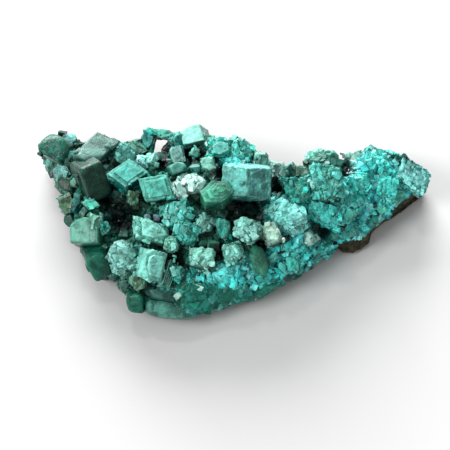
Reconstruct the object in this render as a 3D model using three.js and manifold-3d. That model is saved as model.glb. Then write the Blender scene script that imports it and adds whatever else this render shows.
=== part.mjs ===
import * as THREE from "three";
import { mergeVertices } from "three/addons/utils/BufferGeometryUtils.js";
import Module from "manifold-3d";

const wasm = await Module();
wasm.setup();

// Dioptase cluster: a hand specimen of blocky crystals grown in a crust on a thin slab of host rock.
// Millimetres, +Z up, resting on the sawn-flat underside of the rock at z = 0; +X runs to the thin tail.

// ---------------------------------------------------------------- the specimen as a whole
// u runs along X, v up a plane that faces the front at SLOPE degrees, w out of that plane.
const SLOPE = 60;
const COLOURS = { crystals: 0x2a8f83, rock: 0x3e3528 };
const SEAT_GAP = 0.3;            // free space between crust and rock
const WELD = 2e-3;               // corners closer than this are one
const SLIVER = 0.07;             // edges left by the joins that move the surface less than this are closed up

// Crust: its lower rim stands higher along the tail and the back, where the broken rock shows below it.
const CRUST_LIP_Z = 1.0;
const BACK_LIP_Z = 2.8;
const TAIL_LIP_Z = 3.0;
const TAIL_START_X = 15.5;
const CRUST_ENDS = [-28.6, 29.0];
const CREST_AT = 0.6;            // the crest lies this far back across the mound
const BACK_RIM = 0.72;           // height of the back rim, as a share of the crest's
const FRONT_RIM = 3.0;
const LEAST_WALL = 0.8;
// The crust body stops this far inside the crystals' outline, along the front and along the back.
const RIM_INSET = [[-29.5, 0.9], [-16, 0.8], [-13, 0.35], [15, 0.35], [17, 0.8], [29.7, 0.8]];
const BACK_INSET = 0.8;

// Rock: how far it stays inside the same outline, the crust's thickness on it, and its roughness.
const ROCK_ENDS = [-26.5, 29.2];
const ROCK_INSET = [[-29.5, 1.7], [15.3, 1.7], [15.6, 1.2], [16.8, 0.1], [20.4, 0.1], [21.4, 0.9], [23.2, 0.7],
  [24.6, 0.1], [29.7, 0.1]];
const ROCK_BACK_INSET = [[-14, 1.3], [-12.4, 2.8], [-9, 2.8], [-7.4, 1.3]];
const CRUST_THICK = [[-29.5, 2.6], [0, 3.0], [14, 2.6], [20, 2.0], [29.7, 1.6]];
const ROCK_SHARE = 0.86;         // the rock's top is this much flatter than the crust's
const ROCK_FOOT_IN = 0.6;        // its foot draws in by this
const ROUGH = { rock: 0.22, crust: 0.15 };
const STATIONS = 24;             // sections along X of each body
const ACROSS = 9;                // and steps over its top

// Crystals: each plate of a stepped one is smaller, and stands out of the last.
const STEP = { shrink: 0.22, rise: 0.28, shift: 0.05 };
const SMALL = { edgeStep: 2.3, gridStep: 2.6, edgeSize: [1.9, 2.7], size: [1.5, 2.4], prisms: 0.15 };
const BACK_ROW = { from: -25, step: 3.9, count: 14, size: [2.2, 3.4] };
const ARCH_GAP = { uv: [-10.7, 11.7], size: [1.5, 2.3, 24], roll: 2, seed: 4 };

// Outline of the crystals on the sloping plane, as [u, v], back edge and front edge from left to right.
const BACK_EDGE = [
  [-29.5, 12.4], [-29.2, 13.2], [-27.2, 13.4], [-25.6, 13.7], [-23.8, 12.5], [-22.3, 12.8], [-20.8, 13.6],
  [-19.5, 13.5], [-18.2, 12.2], [-15.8, 12.7], [-13.5, 12.7], [-12.4, 14.0], [-8.2, 13.6], [-5.7, 14.6],
  [-4.6, 14.7], [-2.3, 12.8], [-0.7, 12.9], [1.0, 12.4], [3.1, 10.4], [7.0, 8.7], [10.0, 8.2], [11.3, 9.7],
  [14.2, 10.6], [16.2, 9.7], [19.0, 10.9], [20.6, 11.5], [22.8, 11.0], [25.8, 9.4], [29.2, 7.4], [29.7, 6.7],
];
const FRONT_EDGE = [
  [-29.5, 12.0], [-29.4, 10.4], [-28.4, 8.4], [-27.2, 5.3], [-26.1, 3.4], [-25.5, 1.2], [-24.6, -1.4],
  [-23.2, -3.8], [-22.2, -6.4], [-20.7, -8.5], [-18.2, -8.9], [-16.2, -11.2], [-15.1, -13.3], [-11.8, -13.9],
  [-8.2, -14.8], [-6.4, -14.8], [-2.0, -13.6], [4.8, -11.2], [8.5, -9.4], [10.8, -7.9], [13.3, -5.5],
  [15.3, -4.7], [18.3, -4.7], [20.5, -3.2], [23.2, -0.7], [25.8, 1.6], [29.5, 4.3], [29.7, 5.2],
];
// Height of the mound's crest and of its back rim along X.
const CREST = [[-29.5, 5.5], [-26, 7.4], [-21, 9.4], [-14, 9.6], [-6, 10.6], [1, 11.6], [6, 10.2], [13, 9.6],
  [18, 7.8], [22, 7.4], [26, 6.4], [29.7, 4.6]];

// Rounded swellings of the crust and hollows between its crystals: [u, v, radius, height or depth].
const LOBES = [
  [9.6, -5.4, 3.0, 1.7], [0.8, -9.2, 3.0, 1.4], [5.6, -8.9, 2.0, 0.9], [-5.2, -10.2, 2.4, 0.9],
  [13.8, -2.6, 1.8, 0.7], [16.6, 2.0, 2.2, 0.8], [20.8, 8.8, 2.6, 1.2], [26.0, 7.0, 2.4, 0.7],
];
const HOLLOWS = [
  [-16.2, 1.3, 2.6, 3.2], [2.0, 1.5, 3.2, 3.2], [6.7, 5.6, 1.5, 3.0], [13.4, -1.0, 1.7, 2.6],
  [17.2, 8.2, 1.3, 2.0], [-5.9, 10.4, 1.7, 2.4], [-10.6, 9.0, 1.1, 2.2], [-2.3, -4.5, 1.4, 2.0],
  [-9.0, -5.6, 1.6, 2.0], [-1.5, 7.6, 1.4, 1.8], [4.0, -3.4, 1.2, 1.8], [-19.4, 4.0, 1.6, 2.4],
];

// ---------------------------------------------------------------- small maths
const rad = THREE.MathUtils.degToRad;
const COS = Math.cos(rad(SLOPE));
const SIN = Math.sin(rad(SLOPE));
const U = new THREE.Vector3(1, 0, 0);
const V = new THREE.Vector3(0, SIN, COS);
const W = new THREE.Vector3(0, -COS, SIN);

// Repeatable number in 0..1 for a pair of whole numbers.
const chance = (n, k) => {
  const s = Math.sin(n * 127.1 + k * 311.7 + 17.3) * 43758.5453;
  return s - Math.floor(s);
};
const between = (lo, hi, n, k) => lo + (hi - lo) * chance(n, k);

// Straight-line reading of a list of [at, value] pairs.
function along(list, at) {
  if (at <= list[0][0]) return list[0][1];
  for (let i = 1; i < list.length; i++) {
    const [a, p] = list[i - 1];
    const [b, q] = list[i];
    if (at <= b) return p + ((q - p) * (at - a)) / (b - a);
  }
  return list[list.length - 1][1];
}

// ---------------------------------------------------------------- the mound under the crystals
const lipZ = (x) => along([[TAIL_START_X - 1, CRUST_LIP_Z], [TAIL_START_X + 1, TAIL_LIP_Z]], x);
const backY = (x, inset) =>
  (along(BACK_EDGE, x) - inset - COS * BACK_RIM * along(CREST, x)) / SIN;
const rimInset = (x) => along(RIM_INSET, x);
const frontY = (x, inset) => (along(FRONT_EDGE, x) + inset - COS * CRUST_LIP_Z) / SIN;

// Height of the bare mound over the plan, before its hollows.
function moundZ(x, y) {
  const yf = frontY(x, rimInset(x));
  const yb = backY(x, BACK_INSET);
  const t = THREE.MathUtils.clamp((y - yf) / Math.max(yb - yf, 0.5), 0, 1);
  const crest = along(CREST, x);
  if (t < CREST_AT) {
    const rise = Math.sin((Math.PI / 2) * (t / CREST_AT)) ** 0.85;
    return FRONT_RIM + (crest - FRONT_RIM) * rise;
  }
  const fall = Math.cos(((Math.PI / 2) * (t - CREST_AT)) / (1 - CREST_AT));
  return crest * (BACK_RIM + (1 - BACK_RIM) * fall);
}

// Point of the surface that lies at (u, v) on the sloping plane.
function spot(u, v, lift = 0, ground = moundZ) {
  let y = (v - COS * 8) / SIN;
  for (let i = 0; i < 40; i++) y += 0.5 * ((v - COS * ground(u, y)) / SIN - y);
  return new THREE.Vector3(u, y, ground(u, y)).addScaledVector(W, lift);
}

const relief = [...LOBES, ...HOLLOWS.map(([u, v, radius, depth]) => [u, v, radius, -depth])]
  .map(([u, v, radius, rise]) => ({ at: spot(u, v), radius, rise }));
function crustZ(x, y) {
  let z = moundZ(x, y);
  for (const { at, radius, rise } of relief) {
    z += rise * Math.exp(-((x - at.x) ** 2 + (y - at.y) ** 2) / radius ** 2);
  }
  return z;
}

// ---------------------------------------------------------------- closed solids
const solidOf = (points, faces) =>
  new wasm.Manifold(new wasm.Mesh({
    numProp: 3,
    vertProperties: new Float32Array(points.flatMap((p) => [p.x, p.y, p.z])),
    triVerts: new Uint32Array(faces.flat()),
  }));

// Loft through closed sections that all have the same number of points, with a fan at each end.
function loft(sections) {
  const m = sections[0].length;
  const points = sections.flat();
  const faces = [];
  for (let i = 0; i + 1 < sections.length; i++) {
    for (let j = 0; j < m; j++) {
      const a = i * m + j;
      const b = i * m + ((j + 1) % m);
      faces.push([a, a + m, b], [b, a + m, b + m]);
    }
  }
  const last = (sections.length - 1) * m;
  const ends = [sections[0], sections[sections.length - 1]].map((s) =>
    s.reduce((sum, p) => sum.add(p), new THREE.Vector3()).divideScalar(m));
  points.push(...ends);
  for (let j = 0; j < m; j++) {
    const next = (j + 1) % m;
    faces.push([j, next, points.length - 2], [last + next, last + j, points.length - 1]);
  }
  return solidOf(points, faces);
}

// Corners and faces of the convex body inside a list of planes [nx, ny, nz, distance], stretched to
// fill a cube two units wide.
function facets(planes) {
  const ps = planes.map(([x, y, z, d]) => {
    const n = new THREE.Vector3(x, y, z);
    const len = n.length();
    return { n: n.divideScalar(len), d: d / len };
  });
  const corners = [];
  const cross = new THREE.Vector3();
  for (let a = 0; a < ps.length; a++) {
    for (let b = a + 1; b < ps.length; b++) {
      for (let c = b + 1; c < ps.length; c++) {
        const det = ps[a].n.dot(cross.crossVectors(ps[b].n, ps[c].n));
        if (Math.abs(det) < 1e-4) continue;
        const p = new THREE.Vector3()
          .addScaledVector(new THREE.Vector3().crossVectors(ps[b].n, ps[c].n), ps[a].d)
          .addScaledVector(new THREE.Vector3().crossVectors(ps[c].n, ps[a].n), ps[b].d)
          .addScaledVector(new THREE.Vector3().crossVectors(ps[a].n, ps[b].n), ps[c].d)
          .divideScalar(det);
        if (ps.some(({ n, d }) => n.dot(p) > d + 1e-9)) continue;
        if (corners.every((q) => q.distanceTo(p) > 1e-7)) corners.push(p);
      }
    }
  }
  const faces = [];
  for (const { n, d } of ps) {
    const on = corners.map((p, i) => i).filter((i) => Math.abs(n.dot(corners[i]) - d) < 1e-7);
    if (on.length < 3) continue;
    const mid = on.reduce((s, i) => s.add(corners[i]), new THREE.Vector3()).divideScalar(on.length);
    const e = corners[on[0]].clone().sub(mid).normalize();
    const f = new THREE.Vector3().crossVectors(n, e);
    const turn = (i) => Math.atan2(corners[i].clone().sub(mid).dot(f), corners[i].clone().sub(mid).dot(e));
    on.sort((i, j) => turn(i) - turn(j));
    for (let k = 1; k + 1 < on.length; k++) faces.push([on[0], on[k], on[k + 1]]);
  }
  const box = new THREE.Box3().setFromPoints(corners);
  const mid = box.getCenter(new THREE.Vector3());
  const half = box.getSize(new THREE.Vector3()).multiplyScalar(0.5);
  return { points: corners.map((p) => p.clone().sub(mid).divide(half)), faces };
}

// ---------------------------------------------------------------- crystal habits, each in its unit cube
// Rhombic block: three pairs of faces a little off square, with some corners cut.
function rhombPlanes(n) {
  const skew = between(0.12, 0.3, n, 1);
  const lean = between(-0.14, 0.14, n, 2);
  const planes = [
    [1, skew, lean, 1], [-1, -skew, -lean, 1], [lean, 1, skew * 0.5, 1], [-lean, -1, -skew * 0.5, 1],
    [0, lean, 1, 1], [0, -lean, -1, 1],
  ];
  for (let k = 0; k < 3; k++) {
    const side = [chance(n, 5 + k) < 0.5 ? -1 : 1, chance(n, 9 + k) < 0.5 ? -1 : 1, 1];
    planes.push([...side, between(2.0, 2.45, n, 13 + k)]);
  }
  return planes;
}

// Six-sided prism along the second axis, closed at both ends by three sloping faces.
function prismPlanes(n) {
  const planes = [];
  const start = between(0, 60, n, 1);
  for (let k = 0; k < 6; k++) {
    const a = rad(start + 60 * k);
    planes.push([Math.cos(a), 0, Math.sin(a), between(0.84, 1.0, n, 2 + k)]);
  }
  for (let k = 0; k < 3; k++) {
    const a = rad(start + 30 + 120 * k);
    planes.push([Math.cos(a), 1.15, Math.sin(a), between(1.5, 1.75, n, 9 + k)]);
    planes.push([-Math.cos(a), -1.15, -Math.sin(a), between(1.5, 1.75, n, 13 + k)]);
  }
  return planes;
}

// Plain chip: a skewed six-faced block for the small crystals.
const chipPlanes = (n) => rhombPlanes(n).slice(0, 6 + (chance(n, 21) < 0.5 ? 1 : 0));

const HABITS = { rhomb: rhombPlanes, prism: prismPlanes, chip: chipPlanes };

// A crystal's front looks out of the slope; roll turns it on the slope (left-handed is positive),
// turn swings its front to the right, tip lets its front look up the slope. Degrees.
const poseOf = ({ roll = 0, turn = 0, tip = 0 }) =>
  new THREE.Matrix4().makeBasis(U, V, W)
    .multiply(new THREE.Matrix4().makeRotationZ(rad(roll)))
    .multiply(new THREE.Matrix4().makeRotationY(rad(turn)))
    .multiply(new THREE.Matrix4().makeRotationX(rad(-tip)));

function crystal(c) {
  const { points, faces } = facets(HABITS[c.habit ?? "rhomb"](c.seed));
  const pose = poseOf(c);
  const half = new THREE.Vector3(...c.size).multiplyScalar(0.5);
  return solidOf(points.map((p) => p.clone().multiply(half).applyMatrix4(pose).add(c.at)), faces);
}

// The crystal with smaller parallel plates that step out of its front.
function steppedCrystal(c) {
  const solids = [crystal(c)];
  const [a, b, d] = c.size;
  for (let k = 1; k <= (c.steps ?? 0); k++) {
    const shift = new THREE.Vector3(STEP.shift * k * a, -STEP.shift * k * b, STEP.rise * k);
    solids.push(crystal({
      ...c,
      at: c.at.clone().add(shift.applyMatrix4(poseOf(c))),
      size: [a * (1 - STEP.shrink * k), b * (1 - STEP.shrink * k), d],
    }));
  }
  return solids;
}

// ---------------------------------------------------------------- the larger crystals, by name
// uv: place on the slope; size: across, up the slope, out of it; lift: centre above the mound.
const NAMED = {
  left_tip: { uv: [-26.6, 11.2], size: [5.2, 4.2, 5.0], roll: -24, turn: -18, tip: 12, lift: 0.6 },
  tip_slab: { uv: [-24.9, 12.5], size: [3.2, 2.4, 3.4], roll: 12, tip: 20, lift: 0.4 },
  big_slab: { uv: [-20.9, 10.6], size: [4.6, 6.6, 3.4], roll: -38, turn: -24, tip: 34, lift: 1.9 },
  dark_face: { uv: [-21.4, 6.6], size: [5.2, 7.2, 5.4], roll: 16, turn: 14, tip: -16, lift: 0.5 },
  edge_upper: { uv: [-25.8, 7.6], size: [3.4, 2.8, 3.2], roll: 18, turn: -20, tip: 18, lift: 0.7 },
  edge_middle: { uv: [-25.2, 5.8], size: [3.4, 2.3, 3.0], roll: -12, turn: -14, tip: 4, lift: 0.9 },
  edge_olive: { uv: [-24.9, 2.8], size: [3.0, 3.1, 3.2], roll: 8, turn: -24, lift: 0.8 },
  edge_lower: { uv: [-24.6, 0.4], size: [1.9, 2.1, 2.2], roll: 20, turn: -20, lift: 0.6 },
  bright_chip: { uv: [-21.2, 2.7], size: [2.3, 2.1, 2.2], roll: 30, tip: 14, lift: 1.1 },
  wedge: { uv: [-21.8, -1.5], size: [5.8, 4.6, 5.0], roll: -6, turn: -22, tip: 12, lift: 0.9 },
  notch_left: { uv: [-20.6, 0.2], size: [1.8, 2.4, 2.2], roll: -14, turn: 24, lift: 1.9 },
  notch_right: { uv: [-19.4, -0.8], size: [1.7, 2.2, 2.2], roll: 10, turn: 20, lift: 1.4 },
  dark_lump: { uv: [-20.2, -5.9], size: [4.8, 5.4, 4.6], roll: 14, turn: -10, tip: -16, lift: 0.5 },
  sparkling_lump: { uv: [-16.4, -5.2], size: [4.0, 5.2, 4.2], habit: "prism",
    roll: 20, turn: -12, lift: 1.0 },
  pale_slab: { uv: [-12.2, -1.6], size: [6.2, 3.5, 3.2], roll: -14, turn: 6, tip: 22, lift: 1.2, steps: 1 },
  small_round: { uv: [-9.2, -3.3], size: [2.3, 2.8, 2.6], habit: "prism", roll: 10, turn: 12, lift: 1.7 },
  stepped_block: { uv: [-11.6, -6.6], size: [5.6, 5.0, 4.8],
    roll: -22, turn: 14, tip: 14, lift: 1.2, steps: 2 },
  olive_wedge: { uv: [-14.1, -8.8], size: [2.3, 2.7, 2.6], roll: 28, turn: -6, tip: 6, lift: 1.0 },
  oval_left: { uv: [-8.1, -7.6], size: [1.7, 2.3, 2.0], habit: "prism", roll: 16, lift: 1.2 },
  corner_block: { uv: [-14.5, -11.7], size: [3.7, 3.5, 3.6], roll: -12, turn: -12, tip: -8, lift: 0.5 },
  ledge: { uv: [-9.2, -12.9], size: [8.8, 3.8, 3.6], roll: -4, tip: 10, lift: -0.2 },
  stepped_plate: { uv: [-15.9, 6.7], size: [7.0, 4.4, 3.4],
    roll: -14, turn: 8, tip: 16, lift: 1.5, steps: 2 },
  dark_triangle: { uv: [-16.7, 10.2], size: [3.8, 3.8, 3.4], roll: 44, turn: 10, tip: -6, lift: 1.2 },
  pale_tuft_left: { uv: [-13.7, 9.0], size: [2.0, 2.2, 2.4], habit: "prism", roll: 14, lift: 1.3 },
  pale_tuft_right: { uv: [-12.3, 9.4], size: [1.9, 2.4, 2.4], habit: "prism",
    roll: -22, turn: 12, lift: 1.2 },
  arch_left: { uv: [-13.0, 12.6], size: [2.3, 3.2, 2.6], roll: -18, turn: -10, lift: 0.9 },
  arch_top: { uv: [-10.9, 13.5], size: [4.6, 1.7, 2.4], roll: -5, tip: 12, lift: 0.9 },
  arch_right: { uv: [-8.5, 12.2], size: [3.0, 3.2, 2.8], roll: 22, turn: 12, lift: 0.9 },
  pale_face: { uv: [-8.3, 10.2], size: [2.6, 2.8, 3.0], roll: 8, turn: -16, tip: 10, lift: 1.5 },
  top_block: { uv: [-5.6, 13.0], size: [4.0, 3.2, 4.0], roll: 14, turn: -16, tip: 20, lift: 1.0 },
  cavity_crystal: { uv: [-5.7, 10.6], size: [1.6, 2.0, 1.9], habit: "prism", roll: -14, lift: 1.2 },
  back_ridge_left: { uv: [-1.9, 10.8], size: [4.6, 3.8, 3.8], roll: -8, tip: 22, lift: 0.8, steps: 1 },
  back_ridge_right: { uv: [1.2, 10.8], size: [4.2, 3.6, 3.8], roll: -26, turn: 12, tip: 22, lift: 0.6 },
  back_slope_upper: { uv: [3.9, 9.0], size: [3.2, 2.8, 3.2], roll: -34, turn: 10, tip: 16, lift: 0.6 },
  back_slope_lower: { uv: [6.6, 7.8], size: [2.6, 2.4, 2.8], roll: -20, turn: 6, tip: 12, lift: 0.5 },
  cavity_wall: { uv: [-3.6, 9.0], size: [2.4, 2.6, 2.6], roll: 24, turn: -12, tip: 8, lift: 0.9 },
  ridged_chip: { uv: [-8.4, 8.0], size: [3.4, 2.1, 2.6], roll: 10, tip: 18, lift: 1.2 },
  square_stepped: { uv: [-11.4, 4.9], size: [5.2, 4.1, 4.2],
    roll: 8, turn: -6, tip: 12, lift: 1.7, steps: 1 },
  olive_chip: { uv: [-15.0, 3.7], size: [1.9, 2.4, 2.2], roll: -8, turn: 14, lift: 1.5 },
  white_tuft_left: { uv: [-7.9, 4.9], size: [2.2, 2.8, 2.8], habit: "prism", roll: 18, turn: -12, lift: 1.8 },
  white_tuft_right: { uv: [-5.9, 5.7], size: [2.6, 2.6, 2.8], habit: "prism", roll: -24, turn: 8, lift: 1.6 },
  rosette: { uv: [-2.4, 3.8], size: [4.8, 4.8, 3.8], habit: "prism",
    roll: 22, turn: 8, tip: 70, lift: 1.7, steps: 1 },
  great_block: { uv: [2.1, 5.6], size: [7.6, 6.2, 7.0], habit: "prism",
    roll: -3, turn: 4, tip: -6, lift: 2.2, seed: 3 },
  violet_left: { uv: [-12.7, 0.7], size: [1.2, 1.3, 1.6], roll: 8, lift: 1.3 },
  violet_right: { uv: [-11.4, 0.7], size: [1.3, 1.2, 1.6], roll: -12, lift: 1.3 },
  teal_lump_upper: { uv: [-8.0, 1.4], size: [4.8, 3.6, 3.8], roll: 20, turn: -10, tip: 14, lift: 1.4 },
  teal_lump_lower: { uv: [-7.0, -1.4], size: [3.6, 3.6, 3.6], habit: "prism", roll: -18, tip: 10, lift: 1.6 },
  oval_right: { uv: [-4.1, -0.2], size: [2.7, 2.8, 3.0], habit: "prism", roll: -30, turn: 10, lift: 1.7 },
  tall_chip: { uv: [-1.5, -0.9], size: [2.4, 3.4, 2.8], roll: 6, turn: 6, tip: 10, lift: 1.2 },
  pale_block: { uv: [-4.8, -5.4], size: [4.3, 3.2, 3.6], roll: -14, turn: -4, tip: 24, lift: 1.6 },
  pale_round: { uv: [0, -4.6], size: [3.1, 3.2, 3.4], habit: "prism",
    roll: 30, turn: -8, tip: 20, lift: 1.6 },
  pale_knob: { uv: [2.1, -1.3], size: [4.2, 3.5, 4.0], habit: "prism", roll: -12, tip: 24, lift: 1.7 },
  cream_knob: { uv: [5.7, -1.9], size: [2.9, 3.4, 3.4], roll: 16, turn: 8, tip: 18, lift: 1.7 },
  bead: { uv: [5.3, 1.6], size: [1.4, 1.3, 1.8], roll: 20, lift: 1.4 },
  olive_pair_left: { uv: [8.7, 7.7], size: [2.2, 2.1, 2.6], roll: 30, turn: -14, lift: 1.0 },
  olive_pair_right: { uv: [10.3, 7.5], size: [2.1, 2.1, 2.6], roll: -16, turn: 10, lift: 1.0 },
  grey_block: { uv: [9.7, 4.8], size: [4.6, 4.2, 4.0], roll: 8, turn: 6, tip: 10, lift: 1.2 },
  olive_dome: { uv: [13.6, 9.3], size: [3.4, 5.8, 4.0], habit: "prism",
    roll: 82, turn: 8, tip: 10, lift: 0.7 },
  teal_block: { uv: [14.0, 5.8], size: [5.4, 5.6, 5.0], roll: -8, turn: -6, tip: 12, lift: 1.5 },
  veined_bulge: { uv: [8.4, 0.8], size: [4.8, 6.2, 4.4], habit: "prism",
    roll: 60, turn: 8, tip: 12, lift: 0.8 },
  turquoise_ridge: { uv: [13.6, 1.1], size: [5.6, 2.6, 3.4], roll: -22, tip: 16, lift: 0.8 },
  pink_grey_chip: { uv: [11.4, -2.2], size: [2.1, 2.4, 2.4], roll: 22, turn: -14, lift: 1.0 },
  long_olive: { uv: [3.9, -5.8], size: [2.6, 5.8, 3.4], habit: "prism",
    roll: 18, turn: -10, tip: -14, lift: 1.1 },
  tail_lump_back: { uv: [21.8, 9.0], size: [3.6, 5.0, 3.8], habit: "prism",
    roll: 74, turn: 8, tip: 12, lift: 0.6 },
  tail_shoulder: { uv: [18.8, 9.7], size: [3.4, 2.8, 3.0], roll: 16, turn: -8, tip: 14, lift: 0.7 },
  tail_top: { uv: [24.3, 9.2], size: [3.2, 2.6, 3.0], roll: -30, turn: 8, tip: 14, lift: 0.5 },
  tail_lump_front: { uv: [19.0, 5.8], size: [3.4, 3.4, 3.2], habit: "prism", roll: 20, turn: 14, lift: 0.6 },
  tail_middle: { uv: [23.2, 5.4], size: [3.4, 3.2, 2.8], roll: -30, turn: 8, tip: 10, lift: 0.4 },
  tail_ridge: { uv: [27.0, 7.2], size: [5.6, 4.0, 4.0], roll: -34, turn: 14, tip: 14, lift: 0.3 },
};

// ---------------------------------------------------------------- rock and crust
// Sections of a mound-shaped body: its front and back walls start at the given inset, and its top
// follows the surface zAt. The wall's foot draws in by footIn.
function moundSections({ from, to, inset, bottom, zAt, footIn, rough, seed }) {
  const sections = [];
  for (let i = 0; i <= STATIONS; i++) {
    const x = from + ((to - from) * i) / STATIONS;
    const yf = frontY(x, inset(x)[0]) + between(-rough, rough, i, seed);
    const yb = Math.max(backY(x, inset(x)[1]) + between(-rough, rough, i, seed + 1), yf + 2.0);
    const [low, lowBack] = bottom(x);
    const section = [new THREE.Vector3(x, yb - footIn, lowBack), new THREE.Vector3(x, yf + footIn, low)];
    for (let j = 0; j <= ACROSS; j++) {
      const t = j / ACROSS;
      const y = yf + (yb - yf) * (0.5 - 0.5 * Math.cos(Math.PI * t));
      const least = low + (lowBack - low) * t + LEAST_WALL;
      const z = Math.max(zAt(x, y) + between(-rough, rough, i * 31 + j, seed + 2), least);
      section.push(new THREE.Vector3(x, y, z));
    }
    sections.push(section);
  }
  return sections;
}

const rockInset = (x) => [along(ROCK_INSET, x), along(ROCK_BACK_INSET, x)];
const rockAt = (grow) => loft(moundSections({
  from: ROCK_ENDS[0] - grow,
  to: ROCK_ENDS[1] + grow,
  inset: (x) => rockInset(x).map((d) => d - grow),
  bottom: () => (grow > 0 ? [-1, -1] : [0, 0]),
  zAt: (x, y) => (moundZ(x, y) - along(CRUST_THICK, x)) * ROCK_SHARE + grow,
  footIn: grow > 0 ? 0 : ROCK_FOOT_IN,
  rough: ROUGH.rock,
  seed: 50,
}));

const crust = loft(moundSections({
  from: CRUST_ENDS[0],
  to: CRUST_ENDS[1],
  inset: (x) => [rimInset(x), BACK_INSET],
  bottom: (x) => [lipZ(x), BACK_LIP_Z],
  zAt: crustZ,
  footIn: 0.2,
  rough: ROUGH.crust,
  seed: 70,
}));

// ---------------------------------------------------------------- crystals set on the crust
const seedOf = (name) => [...name].reduce((n, ch) => (n * 31 + ch.charCodeAt(0)) % 9973, 7);
const crystals = [];
const feet = [];                 // footprints already taken, as [u, v, radius]
for (const [name, c] of Object.entries(NAMED)) {
  const at = spot(c.uv[0], c.uv[1], c.lift);
  crystals.push(...steppedCrystal({ ...c, at, seed: c.seed ?? seedOf(name) }));
  feet.push([...c.uv, 0.5 * Math.min(c.size[0], c.size[1])]);
}
// Small crystals along both edges of the outline, and in the free places between the named ones.
const free = (u, v, r) => feet.every(([a, b, s]) => Math.hypot(u - a, v - b) > 0.62 * (r + s) + 0.35);
function smallCrystal(u, v, size, lift, seed, habit) {
  feet.push([u, v, size / 2]);
  return crystal({
    habit,
    seed,
    at: spot(u, v, lift, crustZ),
    size: [size, size * between(0.8, 1.2, seed, 31), size * between(0.9, 1.2, seed, 32)],
    roll: between(-45, 45, seed, 33),
    turn: between(-26, 26, seed, 34),
    tip: between(-16, 30, seed, 35),
  });
}
[[BACK_EDGE, -1], [FRONT_EDGE, 1]].forEach(([edge, side], which) => {
  let n = 1000 * (which + 1);
  for (let u = -28; u < 29; u += SMALL.edgeStep) {
    n += 1;
    const size = between(...SMALL.edgeSize, n, 30);
    const v = along(edge, u) + side * (size * 0.55 + 0.25 * rimInset(u));
    if (u > TAIL_START_X && side > 0) continue;
    if (free(u, v, size / 2)) crystals.push(smallCrystal(u, v, size, 0.1, n, "chip"));
  }
});
let count = 5000;
for (let u = -27; u < 29; u += SMALL.gridStep) {
  for (let v = -14; v < 14; v += SMALL.gridStep) {
    count += 1;
    const a = u + between(-0.6, 0.6, count, 28);
    const b = v + between(-0.6, 0.6, count, 29);
    const size = between(...SMALL.size, count, 30);
    if (b > along(BACK_EDGE, a) - size / 2 || b < along(FRONT_EDGE, a) + size / 2) continue;
    if (a > TAIL_START_X && b < along(FRONT_EDGE, a) + 2.2) continue;
    if (HOLLOWS.some(([p, q, r]) => Math.hypot(a - p, b - q) < r * 0.75)) continue;
    const habit = chance(count, 36) < SMALL.prisms ? "prism" : "chip";
    if (free(a, b, size / 2)) crystals.push(smallCrystal(a, b, size, 0.25, count, habit));
  }
}
// A looser row on the back of the crust, where it stands up steeply over the rock.
for (let k = 0; k < BACK_ROW.count; k++) {
  const x = BACK_ROW.from + k * BACK_ROW.step + between(-0.5, 0.5, k, 40);
  const z = BACK_LIP_Z + (along(CREST, x) * BACK_RIM - BACK_LIP_Z) * between(0.35, 0.8, k, 42);
  const size = between(...BACK_ROW.size, k, 41);
  crystals.push(crystal({
    seed: 7000 + k,
    at: new THREE.Vector3(x, backY(x, BACK_INSET) - 0.2, z),
    size: [size, size * 0.9, size],
    roll: between(-40, 40, k, 43),
    turn: between(150, 210, k, 44),
    tip: between(-30, 10, k, 45),
  }));
}

// The gap under the arch at the back goes right through, along the way out of the slope.
const archGap = crystal({ ...ARCH_GAP, habit: "chip", at: spot(...ARCH_GAP.uv) });

const crustAndCrystals = wasm.Manifold.union([crust, ...crystals])
  .subtract(rockAt(SEAT_GAP)).subtract(archGap).simplify(SLIVER);

// ---------------------------------------------------------------- the named meshes
// The biggest body of a welded copy: pockets closed in between crystals are filled, and a chip that
// touches at a corner alone is dropped.
function mainBody(solid) {
  const { vertProperties, triVerts } = solid.getMesh();
  const loose = new THREE.BufferGeometry();
  loose.setAttribute("position", new THREE.BufferAttribute(vertProperties, 3));
  loose.setIndex(new THREE.BufferAttribute(triVerts, 1));
  const welded = mergeVertices(loose, WELD);
  const corners = Array.from(welded.index.array);
  const faces = [];
  for (let i = 0; i < corners.length; i += 3) {
    const face = corners.slice(i, i + 3);
    if (new Set(face).size === 3) faces.push(face);
  }
  const points = Array.from({ length: welded.attributes.position.count },
    (_, i) => new THREE.Vector3().fromBufferAttribute(welded.attributes.position, i));
  return solidOf(points, faces).decompose()
    .reduce((best, body) => (body.volume() > best.volume() ? body : best));
}

function meshOf(name, solid, material) {
  const { vertProperties, triVerts } = mainBody(solid).getMesh();
  const geometry = new THREE.BufferGeometry();
  geometry.setAttribute("position", new THREE.BufferAttribute(vertProperties, 3));
  geometry.setIndex(new THREE.BufferAttribute(triVerts, 1));
  const mesh = new THREE.Mesh(geometry, material);
  mesh.name = name;
  return mesh;
}

const cluster = new THREE.Group();
cluster.add(
  meshOf("host_rock", rockAt(0),
    new THREE.MeshStandardMaterial({ color: COLOURS.rock, roughness: 0.9, metalness: 0 })),
  meshOf("dioptase_crystals", crustAndCrystals,
    new THREE.MeshStandardMaterial({ color: COLOURS.crystals, roughness: 0.3, metalness: 0 })),
);
// The origin is under the middle of the whole.
const middle = new THREE.Box3().setFromObject(cluster).getCenter(new THREE.Vector3());
cluster.position.set(-middle.x, -middle.y, 0);
export default cluster;
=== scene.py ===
import functools
import itertools
import math

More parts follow.
